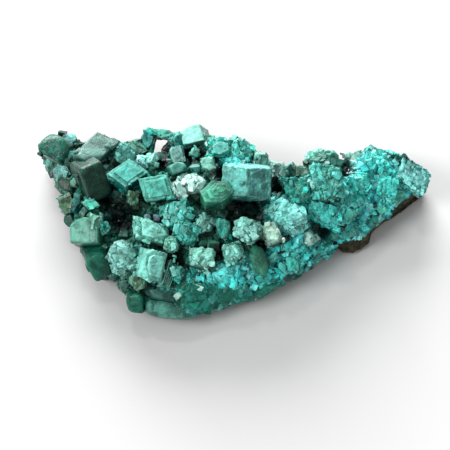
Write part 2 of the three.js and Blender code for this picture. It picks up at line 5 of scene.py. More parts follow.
import bpy
import numpy as np
from bpy.props import FloatProperty, FloatVectorProperty, IntProperty, PointerProperty
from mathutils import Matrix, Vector


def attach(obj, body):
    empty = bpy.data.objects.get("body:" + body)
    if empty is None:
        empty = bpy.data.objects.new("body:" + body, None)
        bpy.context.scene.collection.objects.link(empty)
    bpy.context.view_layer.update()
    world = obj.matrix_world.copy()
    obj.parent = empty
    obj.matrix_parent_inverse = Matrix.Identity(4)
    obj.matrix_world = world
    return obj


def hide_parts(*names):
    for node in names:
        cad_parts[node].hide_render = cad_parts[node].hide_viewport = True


bl_info = {
    "name": "Dioptase cluster",
    "version": (1, 0, 0),
    "blender": (4, 5, 0),
    "location": "View3D > Sidebar > Dioptase",
    "description": "Host rock, crust, block crystals, small crystals and druse of a dioptase cluster",
    "category": "Add Mesh",
}

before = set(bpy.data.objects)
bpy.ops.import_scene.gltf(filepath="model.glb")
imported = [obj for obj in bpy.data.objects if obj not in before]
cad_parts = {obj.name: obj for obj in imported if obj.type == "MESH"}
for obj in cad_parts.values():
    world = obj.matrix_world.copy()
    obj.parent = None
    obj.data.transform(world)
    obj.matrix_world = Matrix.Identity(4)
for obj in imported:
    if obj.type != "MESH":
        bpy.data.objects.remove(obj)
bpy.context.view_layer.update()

# Shapes are worked out in millimetres, from a middle that lies here in the frame.
MM = 0.001
MIDDLE = np.array([0.2505, 3.1154, 0.0])

# u runs along X, w leans to the front at SLOPE above level, and v runs up the plane square to w.
SLOPE = math.radians(60)
COS, SIN = math.cos(SLOPE), math.sin(SLOPE)
U, V, W = np.array([1.0, 0, 0]), np.array([0, SIN, COS]), np.array([0, -COS, SIN])

# ---------------------------------------------------------------- the mound under the crystals
# Edges and bands are tables of (u, value); the edges hold v, the crest its height.
BACK_EDGE = np.array([
    (-29.5, 12.4), (-29.2, 13.2), (-27.2, 13.4), (-25.6, 13.7), (-23.8, 12.5), (-22.3, 12.8),
    (-20.8, 13.6), (-19.5, 13.5), (-18.2, 12.2), (-15.8, 12.7), (-13.5, 12.7), (-12.4, 14.0),
    (-8.2, 13.6), (-5.7, 14.6), (-4.6, 14.7), (-2.3, 12.8), (-0.7, 12.9), (1.0, 12.4), (3.1, 10.4),
    (7.0, 8.7), (10.0, 8.2), (11.3, 9.7), (14.2, 10.6), (16.2, 9.7), (19.0, 10.9), (20.6, 11.5),
    (22.8, 11.0), (25.8, 9.4), (29.2, 7.4), (29.7, 6.7),
])
FRONT_EDGE = np.array([
    (-29.5, 12.0), (-29.4, 10.4), (-28.4, 8.4), (-27.2, 5.3), (-26.1, 3.4), (-25.5, 1.2),
    (-24.6, -1.4), (-23.2, -3.8), (-22.2, -6.4), (-20.7, -8.5), (-18.2, -8.9), (-16.2, -11.2),
    (-15.1, -13.3), (-11.8, -13.9), (-8.2, -14.8), (-6.4, -14.8), (-2.0, -13.6), (4.8, -11.2),
    (8.5, -9.4), (10.8, -7.9), (13.3, -5.5), (15.3, -4.7), (18.3, -4.7), (20.5, -3.2), (23.2, -0.7),
    (25.8, 1.6), (29.5, 4.3), (29.7, 5.2),
])
CREST = np.array([
    (-29.5, 5.5), (-26, 7.4), (-21, 9.4), (-14, 9.6), (-6, 10.6), (1, 11.6), (6, 10.2), (13, 9.6),
    (18, 7.8), (22, 7.4), (26, 6.4), (29.7, 4.6),
])
# The crest lies CREST_AT of the way back, and the mound ends BACK_RIM of its height up at the back and
# FRONT_RIM up at the front.
CREST_AT, BACK_RIM, FRONT_RIM = 0.6, 0.72, 3.0
# How high the crust's lip hangs over the floor; the tail's lip is higher, from TAIL_START_X on.
CRUST_LIP_Z, BACK_LIP_Z, TAIL_LIP_Z, TAIL_START_X = 1.0, 2.8, 3.0, 15.5
RIM_INSET = np.array([
    (-29.5, 0.9), (-16, 0.8), (-13, 0.15), (6, 0.15), (15, 0.35), (17, 0.8), (29.7, 0.8),
])
BACK_INSET = 0.8
CRUST_ENDS, ROCK_ENDS = (-28.6, 29.0), (-26.5, 29.2)
# The crust stops short at the back where the arch of crystals leaves a gap, and so does the rock.
CRUST_BACK = np.array([(-13.4, 0.8), (-12.2, 4.4), (-9.4, 4.4), (-8.2, 0.8)])
ROCK_BACK = np.array([(-14, 1.3), (-12.4, 2.8), (-9, 2.8), (-7.4, 1.3)])
ROCK_FRONT = np.array([
    (-29.5, 1.7), (15.3, 1.7), (15.6, 1.2), (16.8, 0.1), (20.4, 0.1), (21.4, 0.9), (23.2, 0.7),
    (24.6, 0.1), (29.7, 0.1),
])
CRUST_THICK = np.array([(-29.5, 2.6), (0, 3.0), (14, 2.6), (20, 2.0), (29.7, 1.6)])
ROCK_SHARE, CRUST_FOOT_IN, ROCK_FOOT_IN, LEAST_WALL, LEAST_DEPTH = 0.86, 0.2, 0.6, 0.8, 2

# Rings along X and points over the top of each, and the points up a wall and back underneath.
CRUST_GRID, ROCK_GRID = (320, 110), (220, 76)
WALL_POINTS, UNDER_POINTS = 9, 22
# Lumps of the crust: (height, waves per millimetre, seed).
CRUST_LUMPS = (0.42, 0.45, 3), (0.26, 1.1, 11), (0.12, 2.6, 23)

# Swellings of the crust and hollows between its crystals: (u, v, radius, height or depth).
LOBES = [
    (9.6, -5.4, 3.0, 1.7), (0.8, -9.2, 3.0, 1.4), (5.6, -8.9, 2.0, 0.9), (-5.2, -10.2, 2.4, 0.9),
    (13.8, -2.6, 1.8, 0.7), (16.6, 2.0, 2.2, 0.8), (20.8, 8.8, 2.6, 1.2), (26.0, 7.0, 2.4, 0.7),
]
HOLLOWS = [
    (-16.2, 1.3, 2.6, 3.2), (2.0, 1.5, 3.2, 3.2), (6.7, 5.6, 1.5, 3.0), (13.4, -1.0, 1.7, 2.6),
    (17.2, 8.2, 1.3, 2.0), (-5.9, 10.4, 1.7, 2.4), (-10.6, 9.0, 1.1, 2.2), (-2.3, -4.5, 1.4, 2.0),
    (-9.0, -5.6, 1.6, 2.0), (-1.5, 7.6, 1.4, 1.8), (4.0, -3.4, 1.2, 1.8), (-19.4, 4.0, 1.6, 2.4),
]
# Where fine bright druse takes over from the blocks: (u, v, radius).
DRUSE_PATCHES = [
    (22.5, 6.0, 7.0), (27.5, 6.5, 4.5), (17.5, 2.4, 5.0), (12.4, 1.4, 4.0), (9.4, -5.6, 5.0),
    (13.5, -3.4, 3.2), (4.6, -9.6, 4.0), (0.6, -9.6, 4.4), (-4.4, -11.0, 3.6), (0.0, 11.4, 3.4),
    (7.4, 1.2, 3.0), (10.0, 4.6, 2.6), (-10.4, 13.4, 2.4),
]
# How far up from the lower rim the crust is smooth and glassy, at each u.
GLAZE_BAND = np.array([
    (-15, 0), (-13.4, 3.4), (-10, 6.0), (-6, 7.6), (-2, 6.4), (0.5, 4.4), (3, 3.4), (7, 2.6),
    (11, 1.8), (13, 0),
])
# The gap under the arch: its middle (u, v) and half its width and height.
ARCH_GAP, ARCH_GAP_HALF = (-10.7, 11.7), (1.0, 1.5)


# ---------------------------------------------------------------- colours
def srgb(red, green, blue):
    """Linear colour from the 0 to 255 numbers of a colour chart."""
    return tuple(
        c / 3294.6 if c <= 10 else ((c / 255 + 0.055) / 1.055) ** 2.4 for c in (red, green, blue)
    )


# glint is the near-white that single druse and rim crystals are painted with, as painted glints.
TONES = {name: np.array(srgb(*chart)) for name, chart in {
    "mint": (130, 216, 199), "sea": (76, 180, 168), "bright_sea": (90, 202, 188),
    "teal": (36, 154, 142), "lagoon": (40, 154, 156), "jade": (72, 168, 138),
    "bottle": (26, 118, 96), "umber": (30, 84, 68), "olive": (70, 106, 74),
    "olive_mint": (114, 180, 154), "bright": (76, 200, 172), "turquoise": (82, 228, 216),
    "ice": (138, 236, 228), "grey": (122, 186, 176), "slate": (96, 150, 138),
    "white": (202, 254, 244), "frost": (160, 224, 214), "cream": (188, 230, 204),
    "pale": (160, 242, 224), "violet": (128, 166, 178), "sombre": (10, 52, 54),
    "dusk": (68, 128, 120), "moss": (100, 182, 162), "glint": (184, 252, 242),
    "sage": (108, 202, 186),
}.items()}
# Named crystals of these tones are smooth and glassy.
CALM_TONES = {"bottle", "umber", "slate", "violet", "dusk", "moss"}
# A small crystal takes one of these; those that stand here twice are the commoner.
SMALL_TONES = (
    "sea", "teal", "bottle", "jade", "bottle", "olive_mint", "lagoon", "umber", "mint", "umber",
)
# Shades of the plates that step out of a block, against the block's own.
STEP_SHADES = 1.2, 0.7, 1.35
# Crystals redder than this are pale; they are kept smaller than the rest.
PALE_RED = 0.4

# ---------------------------------------------------------------- how crystals are spread and worn
# Small crystals stand this far apart along the edges and on the grid between, in these sizes.
EDGE_STEP, GRID_STEP = 2.3, 2.6
EDGE_SIZE, GRID_SIZE, BACK_ROW_SIZE = (1.9, 2.7), (1.5, 2.4), (2.2, 3.4)
BACK_ROW_COUNT, BACK_ROW_START_X, BACK_ROW_STEP = 14, -25, 3.9
# Two of them keep SPACING of their radii and ROOM apart. Right of BARE_START_U, none stands within BARE_RIM
# of the lower rim.
SPACING, ROOM, BARE_RIM, BARE_START_U = 0.62, 0.35, 2.2, -12
# The named crystals are two pieces, split at this u, and the druse is two, split at this x.
BLOCK_SPLIT_U, DRUSE_SPLIT_X = -6.6, 6
# A strewn crystal this deep in a named one is left out.
SMALL_SUNK, DRUSE_SUNK, SCALE_SUNK = 0.5, 0.35, 0.3
# Druse on faces: grains per square millimetre, and the share of them where a crystal names no sugar.
SUGAR_GRAINS, STRAY_SUGAR = 8.4, 0.1
# Parallel crystals on a block: their scales, the face in square millimetres that carries the full number,
# how many times that number the largest faces carry, and the share of it on a calm block.
GROWTH_SCALES, MIDDLING_FACE, MOST_FACES, CALM_GROWTHS = (0.14, 0.46), 14, 1.6, 0.2
# Each kind of crystal starts here to number its own; the repeatable chances read these numbers.
FIRST = {
    "edge": 1000, "grid": 5000, "between": 6000, "back": 7000, "druse": 9000, "scales": 9500,
    "tints": 20000,
}

# Wear of a crystal: (sharpness of its edges, roughness of its skin, depth of its broken facets).
BLOCK_WEAR, STEP_WEAR, LEAF_WEAR = (60, 0.05, 0.24), (60, 0.03, 0.04), (60, 0.02, 0.04)
SMALL_WEAR, STREWN_WEAR = (40, 0.06, 0.2), (40, 0.06, 0.12)
# A calm crystal has a sharpness of its own and no facets, a growth half of its block's.
CALM_SKIN, GROWTH_CRISP, GROWTH_SKIN = 0.03, 50, 0.04

# ---------------------------------------------------------------- camera and light, in metres
VIEW_WIDTH, VIEW_DISTANCE, SENSOR_WIDTH, CLIP_START = 0.0675, 0.4, 36, 0.01
VIEW_AIM = (-0.00095, -0.00194, 0.008)
FLOOR_SIDE, FLOOR_TONES = 1.6, ((0.86, 0.86, 0.86), (0.88, 0.88, 0.88))
SKY, SKY_STRENGTH = (1.0, 0.99, 0.99, 1), 0.345
# (name, place, side, watts)
LAMPS = (
    ("key", (-0.29, 1.48, 0.55), 1.1, 46.0),
    ("side", (-1.07, -0.43, 1.11), 0.7, 11.5),
    ("sparkle", (-0.12, 0.30, 0.55), 0.06, 0.3),
)


# ---------------------------------------------------------------- small maths
def chance(n, k):
    """Repeatable number in 0..1 for a pair of whole numbers."""
    s = math.sin(n * 127.1 + k * 311.7 + 17.3) * 43758.5453
    return s - math.floor(s)


def between(low, high, n, k):
    """Repeatable number from low to high for a pair of whole numbers."""
    return low + (high - low) * chance(n, k)


def along(table, x):
    """Straight-line reading of a table of (at, value) pairs."""
    return np.interp(x, table[:, 0], table[:, 1])


def unit(vectors):
    """The vectors divided by their lengths."""
    return vectors / np.linalg.norm(vectors, axis=-1, keepdims=True)


def towards(first, second, share):
    """first + (second - first) * share."""
    return first + (second - first) * share


def within(colour):
    """The colour dimmed until its largest part is 1 at most, so that it keeps its hue."""
    return colour / np.maximum(1, np.max(colour, -1, keepdims=True))


def cell_value(cell, seed):
    """A scrambled number in -1..1 for each whole-number cell."""
    mixed = cell[..., 0] * 73856093 ^ cell[..., 1] * 19349663 ^ cell[..., 2] * 83492791 ^ seed * 2654435
    mixed = (mixed ^ (mixed >> 13)) * 1274126177
    return ((mixed ^ (mixed >> 16)) & 0xFFFF) / 32767.5 - 1


def noise(points, seed):
    """Smooth noise: the values of a point's eight cell corners, blended by 3t^2 - 2t^3 on each axis."""
    cell = np.floor(points).astype(np.int64)
    t = points - cell
    t = t * t * (3 - 2 * t)
    total = np.zeros(points.shape[:-1])
    for corner in itertools.product((0, 1), repeat=3):
        corner = np.array(corner)
        total += np.where(corner, t, 1 - t).prod(-1) * cell_value(cell + corner, seed)
    return total


def rumple(points, scale, seed):
    """A vector of three noises at each point, with a scale in waves per millimetre."""
    return np.stack([noise(points * scale + 9.7 * k, seed + k) for k in range(3)], -1)


def patch_share(u, v, patches):
    """0..1: how far a place lies inside round patches, each fading out as exp(-(d/r)^4)."""
    share = np.zeros(np.shape(u))
    for pu, pv, radius in patches:
        share = np.maximum(share, np.exp(-(((u - pu) ** 2 + (v - pv) ** 2) / radius**2) ** 2))
    return share


def back_y(x, inset):
    """The back edge moved in by inset, at the height of the back rim: y = (v - cos * z) / sin."""
    return (along(BACK_EDGE, x) - inset - COS * BACK_RIM * along(CREST, x)) / SIN


def front_y(x, inset):
    """The front edge moved in by inset, at the height of the crust's lip: y = (v - cos * z) / sin."""
    return (along(FRONT_EDGE, x) + inset - COS * CRUST_LIP_Z) / SIN


def mound_z(x, y):
    """Height of the bare mound: a sine rise from the front rim to the crest, a cosine fall to the back."""
    y_front, y_back = front_y(x, along(RIM_INSET, x)), back_y(x, BACK_INSET)
    t = np.clip((y - y_front) / np.maximum(y_back - y_front, 0.5), 0, 1)
    crest = along(CREST, x)
    rise = np.sin(np.pi / 2 * np.minimum(t / CREST_AT, 1)) ** 0.85
    fall = np.cos(np.pi / 2 * np.clip((t - CREST_AT) / (1 - CREST_AT), 0, 1))
    front = FRONT_RIM + (crest - FRONT_RIM) * rise
    return np.where(t < CREST_AT, front, crest * (BACK_RIM + (1 - BACK_RIM) * fall))


def spot(u, v, lift=0.0, ground=mound_z):
    """The point of the ground seen at (u, v) on the slope, lifted along w.

    Its y starts from a height of 8 and goes half of what is missing at each of 40 tries.
    """
    y = (v - COS * 8) / SIN
    for _ in range(40):
        y = y + 0.5 * ((v - COS * ground(u, y)) / SIN - y)
    return np.array([u, float(y), float(ground(u, y))]) + W * lift


# Each lobe and hollow as (place on the ground, radius, rise).
RELIEF = [
    (spot(u, v), radius, rise)
    for u, v, radius, rise in LOBES + [(u, v, radius, -depth) for u, v, radius, depth in HOLLOWS]
]


def crust_z(x, y):
    """The mound with its lobes and hollows: each adds rise * exp(-(d/r)^2)."""
    z = mound_z(x, y)
    for at, radius, rise in RELIEF:
        z = z + rise * np.exp(-((x - at[0]) ** 2 + (y - at[1]) ** 2) / radius**2)
    return z


def mound_normals(points):
    """Upward normals of the bare mound at points, from its rise over half a millimetre each way."""
    x, y = points[:, 0], points[:, 1]
    along_x = mound_z(x + 0.5, y) - mound_z(x - 0.5, y)
    along_y = mound_z(x, y + 0.5) - mound_z(x, y - 0.5)
    return unit(np.stack([-along_x, -along_y, np.ones(len(x))], 1))


def slope_place(points):
    """(u, v) of points."""
    return points[..., 0], points @ V


def hollow_shade(points):
    """0..1: how deep in one of the hollows a point lies, reaching a little past its edge; the hollows are
    painted dark by it, as painted shade.
    """
    u, v = slope_place(points)
    return patch_share(u, v, [(a, b, r * 1.15) for a, b, r, _ in HOLLOWS])


def glaze_share(points):
    """0..1: how smooth and glassy the crust is, fading out upwards from its lower rim."""
    u, v = slope_place(points)
    band = along(GLAZE_BAND, u)
    left = np.clip(2.5 * (band - (v - along(FRONT_EDGE, u))) / np.maximum(band, 0.1), 0, 1)
    return left * left * (3 - 2 * left)


# ---------------------------------------------------------------- crystal habits
def rhomb_planes(n):
    """Three pairs of faces a little off square, and three cut corners, as rows of normal and distance."""
    skew, lean = between(0.12, 0.3, n, 1), between(-0.14, 0.14, n, 2)
    planes = [
        (1, skew, lean, 1), (-1, -skew, -lean, 1), (lean, 1, skew * 0.5, 1),
        (-lean, -1, -skew * 0.5, 1), (0, lean, 1, 1), (0, -lean, -1, 1),
    ]
    for k in range(3):
        side = [-1 if chance(n, 5 + k) < 0.5 else 1, -1 if chance(n, 9 + k) < 0.5 else 1, 1]
        planes.append((*side, between(2.0, 2.45, n, 13 + k)))
    return np.array(planes, float)


def prism_planes(n):
    """A six-sided prism along the second axis, closed at both ends by three sloping faces."""
    start = between(0, 60, n, 1)
    planes = []
    for k in range(6):
        a = math.radians(start + 60 * k)
        planes.append((math.cos(a), 0, math.sin(a), between(0.84, 1.0, n, 2 + k)))
    for k in range(3):
        a = math.radians(start + 30 + 120 * k)
        planes.append((math.cos(a), 1.15, math.sin(a), between(1.5, 1.75, n, 9 + k)))
        planes.append((-math.cos(a), -1.15, -math.sin(a), between(1.5, 1.75, n, 13 + k)))
    return np.array(planes, float)


def column_planes(n):
    """A six-sided column along the second axis, an edge to the front, nearly flat at one end."""
    planes = []
    for k in range(6):
        a = math.radians(-2 + between(-2, 2, n, k) + 60 * k)
        planes.append((math.cos(a), 0.02, math.sin(a), between(0.92, 1.0, n, 2 + k)))
    planes.append((0.05, 1, 0.03, 1.0))
    planes.append((-0.1, -1, 0.42, 1.12))
    planes.append((0.45, -1, -0.2, 1.15))
    return np.array(planes, float)


def chip_planes(n):
    """The rhomb with one cut corner or none."""
    return rhomb_planes(n)[: 6 + (chance(n, 21) < 0.5)]


def slab_planes(n):
    """The rhomb with no cut corner."""
    return rhomb_planes(n)[:6]


HABITS = {
    "rhomb": rhomb_planes, "prism": prism_planes, "chip": chip_planes, "slab": slab_planes,
    "column": column_planes,
}


def corners(normals, distances):
    """All points where three planes meet and that lie outside none of the planes."""
    trio = np.array(list(itertools.combinations(range(len(normals)), 3)))
    sides = normals[trio]
    meet = np.abs(np.linalg.det(sides)) > 1e-4
    points = np.linalg.solve(sides[meet], distances[trio[meet]][..., None])[..., 0]
    points = points[(points @ normals.T <= distances + 1e-7).all(1)]
    keep = np.unique(np.round(points, 6), axis=0, return_index=True)[1]
    return points[np.sort(keep)]


def outlines(points, normals, distances):
    """The faces of a body: the number of each one's plane, and those of its corners in turn round it."""
    which, rounds = [], []
    for k, (normal, distance) in enumerate(zip(normals, distances)):
        on = np.flatnonzero(np.abs(points @ normal - distance) < 1e-5)
        if len(on) > 2:
            spokes = points[on] - points[on].mean(0)
            first = spokes[0] / np.linalg.norm(spokes[0])
            turn = np.arctan2(spokes @ np.cross(normal, first), spokes @ first)
            which.append(k)
            rounds.append(on[np.argsort(turn)])
    return which, rounds


def sized_planes(planes, size):
    """The planes stretched so that the body inside them fills a box of the given size."""
    length = np.linalg.norm(planes[:, :3], axis=1)
    normals, distances = planes[:, :3] / length[:, None], planes[:, 3] / length
    body = corners(normals, distances)
    middle, half = (body.max(0) + body.min(0)) / 2, (body.max(0) - body.min(0)) / 2
    stretch = np.array(size) / 2 / half
    distances = distances - normals @ middle
    normals = normals / stretch
    length = np.linalg.norm(normals, axis=1)
    return normals / length[:, None], distances / length


def cut_fine(points, faces, parts):
    """Each face cut into a fan round its middle and each triangle of it into parts x parts.

    Points of neighbouring faces that fall together are one point.
    """
    ring = [(f.mean(0), f, np.roll(f, -1, 0)) for f in (points[face] for face in faces)]
    fan = np.vstack([np.stack([np.broadcast_to(m, f.shape), f, g], 1) for m, f, g in ring])
    rows = [(i, j) for i in range(parts + 1) for j in range(i + 1)]
    number = {place: k for k, place in enumerate(rows)}
    weight = np.array([(parts - i, i - j, j) for i, j in rows]) / parts
    inner = [(i, j) for i, j in rows if i < parts]
    small = [(number[i, j], number[i + 1, j], number[i + 1, j + 1]) for i, j in inner]
    small += [(number[i, j], number[i + 1, j + 1], number[i, j + 1]) for i, j in inner if j < i]
    fine = np.einsum("mk,fkd->fmd", weight, fan)
    start = len(rows) * np.arange(len(fan))[:, None, None]
    triangles = (np.array(small)[None] + start).reshape(-1, 3)
    fine = fine.reshape(-1, 3)
    cell = np.round(fine * 2000).astype(np.int64)
    _, first, same = np.unique(cell, axis=0, return_index=True, return_inverse=True)
    return fine[first], same.ravel()[triangles]


def facets(points, scale, seed):
    """Broken-stone relief: every point lies on the slanted plane of the nearest of scattered centres."""
    place = points * scale
    cell = np.floor(place).astype(np.int64)
    nearest, height = np.full(len(points), 9.0), np.zeros(len(points))
    for step in itertools.product((-1, 0, 1), repeat=3):
        other = cell + np.array(step)
        shift = np.stack([cell_value(other, seed + k) for k in range(3)], -1)
        away = place - other - 0.5 - 0.4 * shift
        far = (away**2).sum(1)
        closer = far < nearest
        nearest[closer] = far[closer]
        height[closer] = ((away * shift[:, ::-1]).sum(1) + 0.4 * shift[:, 1])[closer]
    return height


def weathered(points, normals, distances, n, crisp, rough, plate):
    """A crystal's finely cut faces with rounded edges, broken facets and a rough skin.

    Rounding divides a point by the p-norm of its readings on all planes (1 on a plane), with p = crisp.
    The facets are of two sizes, in millimetres times plate; the skin is two octaves of noise times rough,
    with dents along the edges; all push along the blend of the nearest planes' normals. Also returns the
    moved coordinates that the noises read, and how far a point is from the edges, 0..1.
    """
    reading = np.maximum(points @ (normals / distances[:, None]).T, 0)
    points = points / ((reading**crisp).sum(1) ** (1 / crisp))[:, None]
    gap = distances - points @ normals.T
    out = unit(np.exp(-(gap - gap.min(1, keepdims=True)) / 0.15) @ normals)
    two = np.sort(gap, 1)[:, :2]
    near = np.clip((two[:, 1] - two[:, 0]) / 0.45, 0, 1)
    place = points + 37 * np.array([chance(n, 90), chance(n, 91), chance(n, 92)])
    push = rough * (0.6 * noise(place * 0.8, 5) + 0.5 * noise(place * 3.0, 6))
    push -= 2.0 * rough * np.clip(noise(place * 1.5, 8) - 0.1, 0, 1) * (1 - near)
    if plate:
        push += plate * (facets(place, 0.7, n % 977) + 0.4 * facets(place, 1.8, n % 971) - 0.2)
    return points + out * push[:, None], place, near


def pose(roll=0.0, turn=0.0, tip=0.0):
    """Turns a crystal's own axes to the slope: tip about u, then turn about v, then roll about w."""
    r, t, p = math.radians(roll), math.radians(turn), math.radians(-tip)
    about_w = np.array([[math.cos(r), -math.sin(r), 0], [math.sin(r), math.cos(r), 0], [0, 0, 1]])
    about_v = np.array([[math.cos(t), 0, math.sin(t)], [0, 1, 0], [-math.sin(t), 0, math.cos(t)]])
    about_u = np.array([[1, 0, 0], [0, math.cos(p), -math.sin(p)], [0, math.sin(p), math.cos(p)]])
    return np.stack([U, V, W], 1) @ about_w @ about_v @ about_u


# ---------------------------------------------------------------- meshes
def fans_of(faces):
    """Triangles of a list of faces, each cut into a fan."""
    return np.array([(f[0], f[k], f[k + 1]) for f in faces for k in range(1, len(f) - 1)])


def lit_side_and_film(normals):
    """0..1: how much a face looks up and to the left of the slope, towards the light: painted light on the
    faces that the light falls on, with pale film settling there too.
    """
    return np.clip(normals @ unit(np.array([-0.62, 0.32, 0.75])) * 1.5 - 0.25, 0, 1)


def back_shade(normals, points):
    """0..1: how much a face, or the mound under it, looks down the back, where the crystals are painted in
    deep green shade, darker than the light from behind leaves them."""
    back = np.maximum(0.4 - 1.2 * (normals @ W), 1.8 * mound_normals(points)[:, 1] - 0.5)
    return np.clip(back, 0, 0.9)


def corner_normals(points, faces):
    """Outward normals at the corners, as means of the triangles round them."""
    a, b, c = (points[faces[:, k]] for k in range(3))
    cross = np.cross(b - a, c - a)
    owner = faces.ravel()
    total = [np.bincount(owner, np.repeat(cross[:, k], 3), len(points)) for k in range(3)]
    return unit(np.stack(total, 1) + 1e-12)


def finish_piece(thing, node=None):
    """Rides a piece on the cluster's body, in place of a node if one is named."""
    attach(thing, "root")
    if node:
        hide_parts(node)
    return thing


def flat_mesh(name, points, faces, material):
    """A new object of points in millimetres and triangles or quads."""
    mesh = bpy.data.meshes.new(name)
    faces = faces if isinstance(faces, list) else faces.tolist()
    mesh.from_pydata(((points + MIDDLE) * MM).tolist(), [], faces)
    mesh.shade_flat()
    mesh.materials.append(material)
    thing = bpy.data.objects.new(name, mesh)
    bpy.context.scene.collection.objects.link(thing)
    return thing


def give(mesh, name, kind, values):
    """Stores an attribute of the corners that the finishes read."""
    layer = mesh.attributes.new(name, kind, "POINT")
    field = {"FLOAT": "value", "FLOAT_VECTOR": "vector", "FLOAT_COLOR": "color"}[kind]
    layer.data.foreach_set(field, np.ascontiguousarray(values, np.float32).ravel())


def crystal_mesh(name, points, faces, material, tint, grain, root, film_and_light, edge, in_hollows):
    """One piece of many crystals with what their finish reads; in_hollows is how dark the painted shade in
    the hollows is.
    """
    thing = flat_mesh(name, points, faces, material)
    mesh = thing.data
    give(mesh, "tint", "FLOAT_COLOR", np.hstack([tint, np.ones((len(tint), 1))]))
    give(mesh, "grain", "FLOAT_VECTOR", grain)
    # Painted shade: the root is darkened in the hollows between the crystals.
    give(mesh, "root", "FLOAT", np.maximum(root, in_hollows * hollow_shade(points)))
    give(mesh, "film_and_light", "FLOAT", film_and_light)
    give(mesh, "edge", "FLOAT", edge)
    return finish_piece(thing)


class Pile:
    """Corners and triangles of many closed crystals, with what their finish reads at each corner."""

    def __init__(self):
        self.rows, self.faces, self.smooth, self.count = [], [], [], 0

    def add(self, points, faces, tint, grain, root, film_and_light, edge, smooth):
        """Another crystal; smooth is how its triangles are shaded."""
        self.faces.append(faces + self.count)
        self.smooth.append(np.full(len(faces), smooth))
        self.count += len(points)
        self.rows.append((points, np.broadcast_to(tint, points.shape), grain, root, film_and_light, edge))

    def piece(self, name, material, in_hollows=0.85):
        """All its crystals in one mesh."""
        points, tint, grain, root, film_and_light, edge = (np.concatenate(each) for each in zip(*self.rows))
        faces = np.concatenate(self.faces)
        thing = crystal_mesh(name, points, faces, material, tint, grain, root, film_and_light, edge, in_hollows)
        thing.data.polygons.foreach_set("use_smooth", np.concatenate(self.smooth))


# ---------------------------------------------------------------- crystals one by one
def block(u, v, across, up, out, tone, habit="rhomb", roll=0, turn=0, tip=0, lift=0.5, steps=0, seed=None,
          sugar=0.0, crisp=14, leaves=0, calm=False, growth=1.0, rugged=1.0):
    """A named crystal.

    It stands at (u, v), lifted by lift, in a box across x up x out, turned by roll, turn and tip degrees.
    steps are the plates on its front, leaves those at its right, sugar how much druse sits on it, growth
    how many smaller parallel crystals and rugged how broken its faces are. A calm one is smooth and
    glassy, with edges rounded by crisp. A seed gives it other faces than its name does.
    """
    return {
        "uv": (u, v), "size": (across, up, out), "tone": tone, "habit": habit, "lift": lift,
        "frame": pose(roll, turn, tip), "steps": steps, "seed": seed, "sugar": sugar, "crisp": crisp,
        "tip": tip, "leaves": leaves, "calm": calm or tone in CALM_TONES, "growth": growth,
        "rugged": rugged,
    }


def seed_of(name):
    """A whole number worked out from the letters of a name."""
    n = 7
    for letter in name:
        n = (n * 31 + ord(letter)) % 9973
    return n


def shaded_tone(tone, n, spread=0.14):
    """The tone a little lighter, darker, greener or bluer, by the crystal's number."""
    shift = 1 + spread * (2 * np.array([chance(n, 80), chance(n, 81), chance(n, 82)]) - 1)
    return within(tone * shift * (1 + spread * (2 * chance(n, 83) - 1)))


def body_of(planes, size):
    """A crystal's normals, distances and corners, the planes of its faces and their corners in turn."""
    normals, distances = sized_planes(planes, size)
    body = corners(normals, distances)
    return normals, distances, body, *outlines(body, normals, distances)


def grow(pile, planes, size, at, turned, tint, n, parts, wear, smooth=False):
    """Adds one weathered crystal; the smooth ones take little film and painted light, and no pale edges, worn
    or painted as highlights.

    Its root is painted shade: it darkens near the mound, towards its lower right corner away from the slope's
    normal and from the light, and down the back.
    """
    normals, distances, body, _, rounds = body_of(planes, size)
    points, faces = cut_fine(body, rounds, parts)
    points, grain, near = weathered(points, normals, distances, n, *wear)
    world = points @ turned.T + at
    above = world[:, 2] - mound_z(world[:, 0], world[:, 1])
    out = corner_normals(world, faces)
    # Painted light: faces that look towards the light take film and light; smooth crystals take less.
    film_and_light = lit_side_and_film(out) * (0.3 if smooth else 1.0)
    # Painted shade at the root: darker near the mound, to the right away from the light, downwards, towards
    # the base and down the back.
    low = 0.5 + 0.5 * points[:, 0] / size[0] - 0.55 * points[:, 1] / size[1] - 1.25 * points[:, 2] / size[2]
    root = np.clip(np.maximum((1.0 - above) / 1.8, low - 0.25), back_shade(out, world), 1)
    # The edges are painted pale: wear, and painted edge highlights.
    pile.add(world, faces, tint, grain, root, film_and_light, (1 - near) * (not smooth), smooth)


def growths(planes, size, count, least, most, rng):
    """Places and scales of smaller parallel crystals that stand a little proud of random faces.

    A copy scaled by s keeps every face parallel; moved in from a point of a face by s times that face's
    distance, less a little, its own face lies just outside it.
    """
    _, distances, body, which, rounds = body_of(planes, size)
    owner = np.repeat(range(len(rounds)), [len(f) - 2 for f in rounds])
    at, out, pick = cover(body, fans_of(rounds), count, rng)
    scale = least + (most - least) * rng.random(count) ** 1.5
    proud = rng.uniform(0.04, 0.14, count) * float(body.max())
    middle = np.stack([body[f].mean(0) for f in rounds])[owner[pick]]
    at = at + (middle - at) * rng.uniform(0.0, 0.3, (count, 1))
    return at - out * (scale * distances[np.array(which)[owner[pick]]] - proud)[:, None], scale


def slight_turn(rng):
    """A turn of a few degrees about each axis."""
    a, b, c = rng.normal(0, 0.04, 3)
    return np.array([[1, -c, b], [c, 1, -a], [-b, a, 1]])


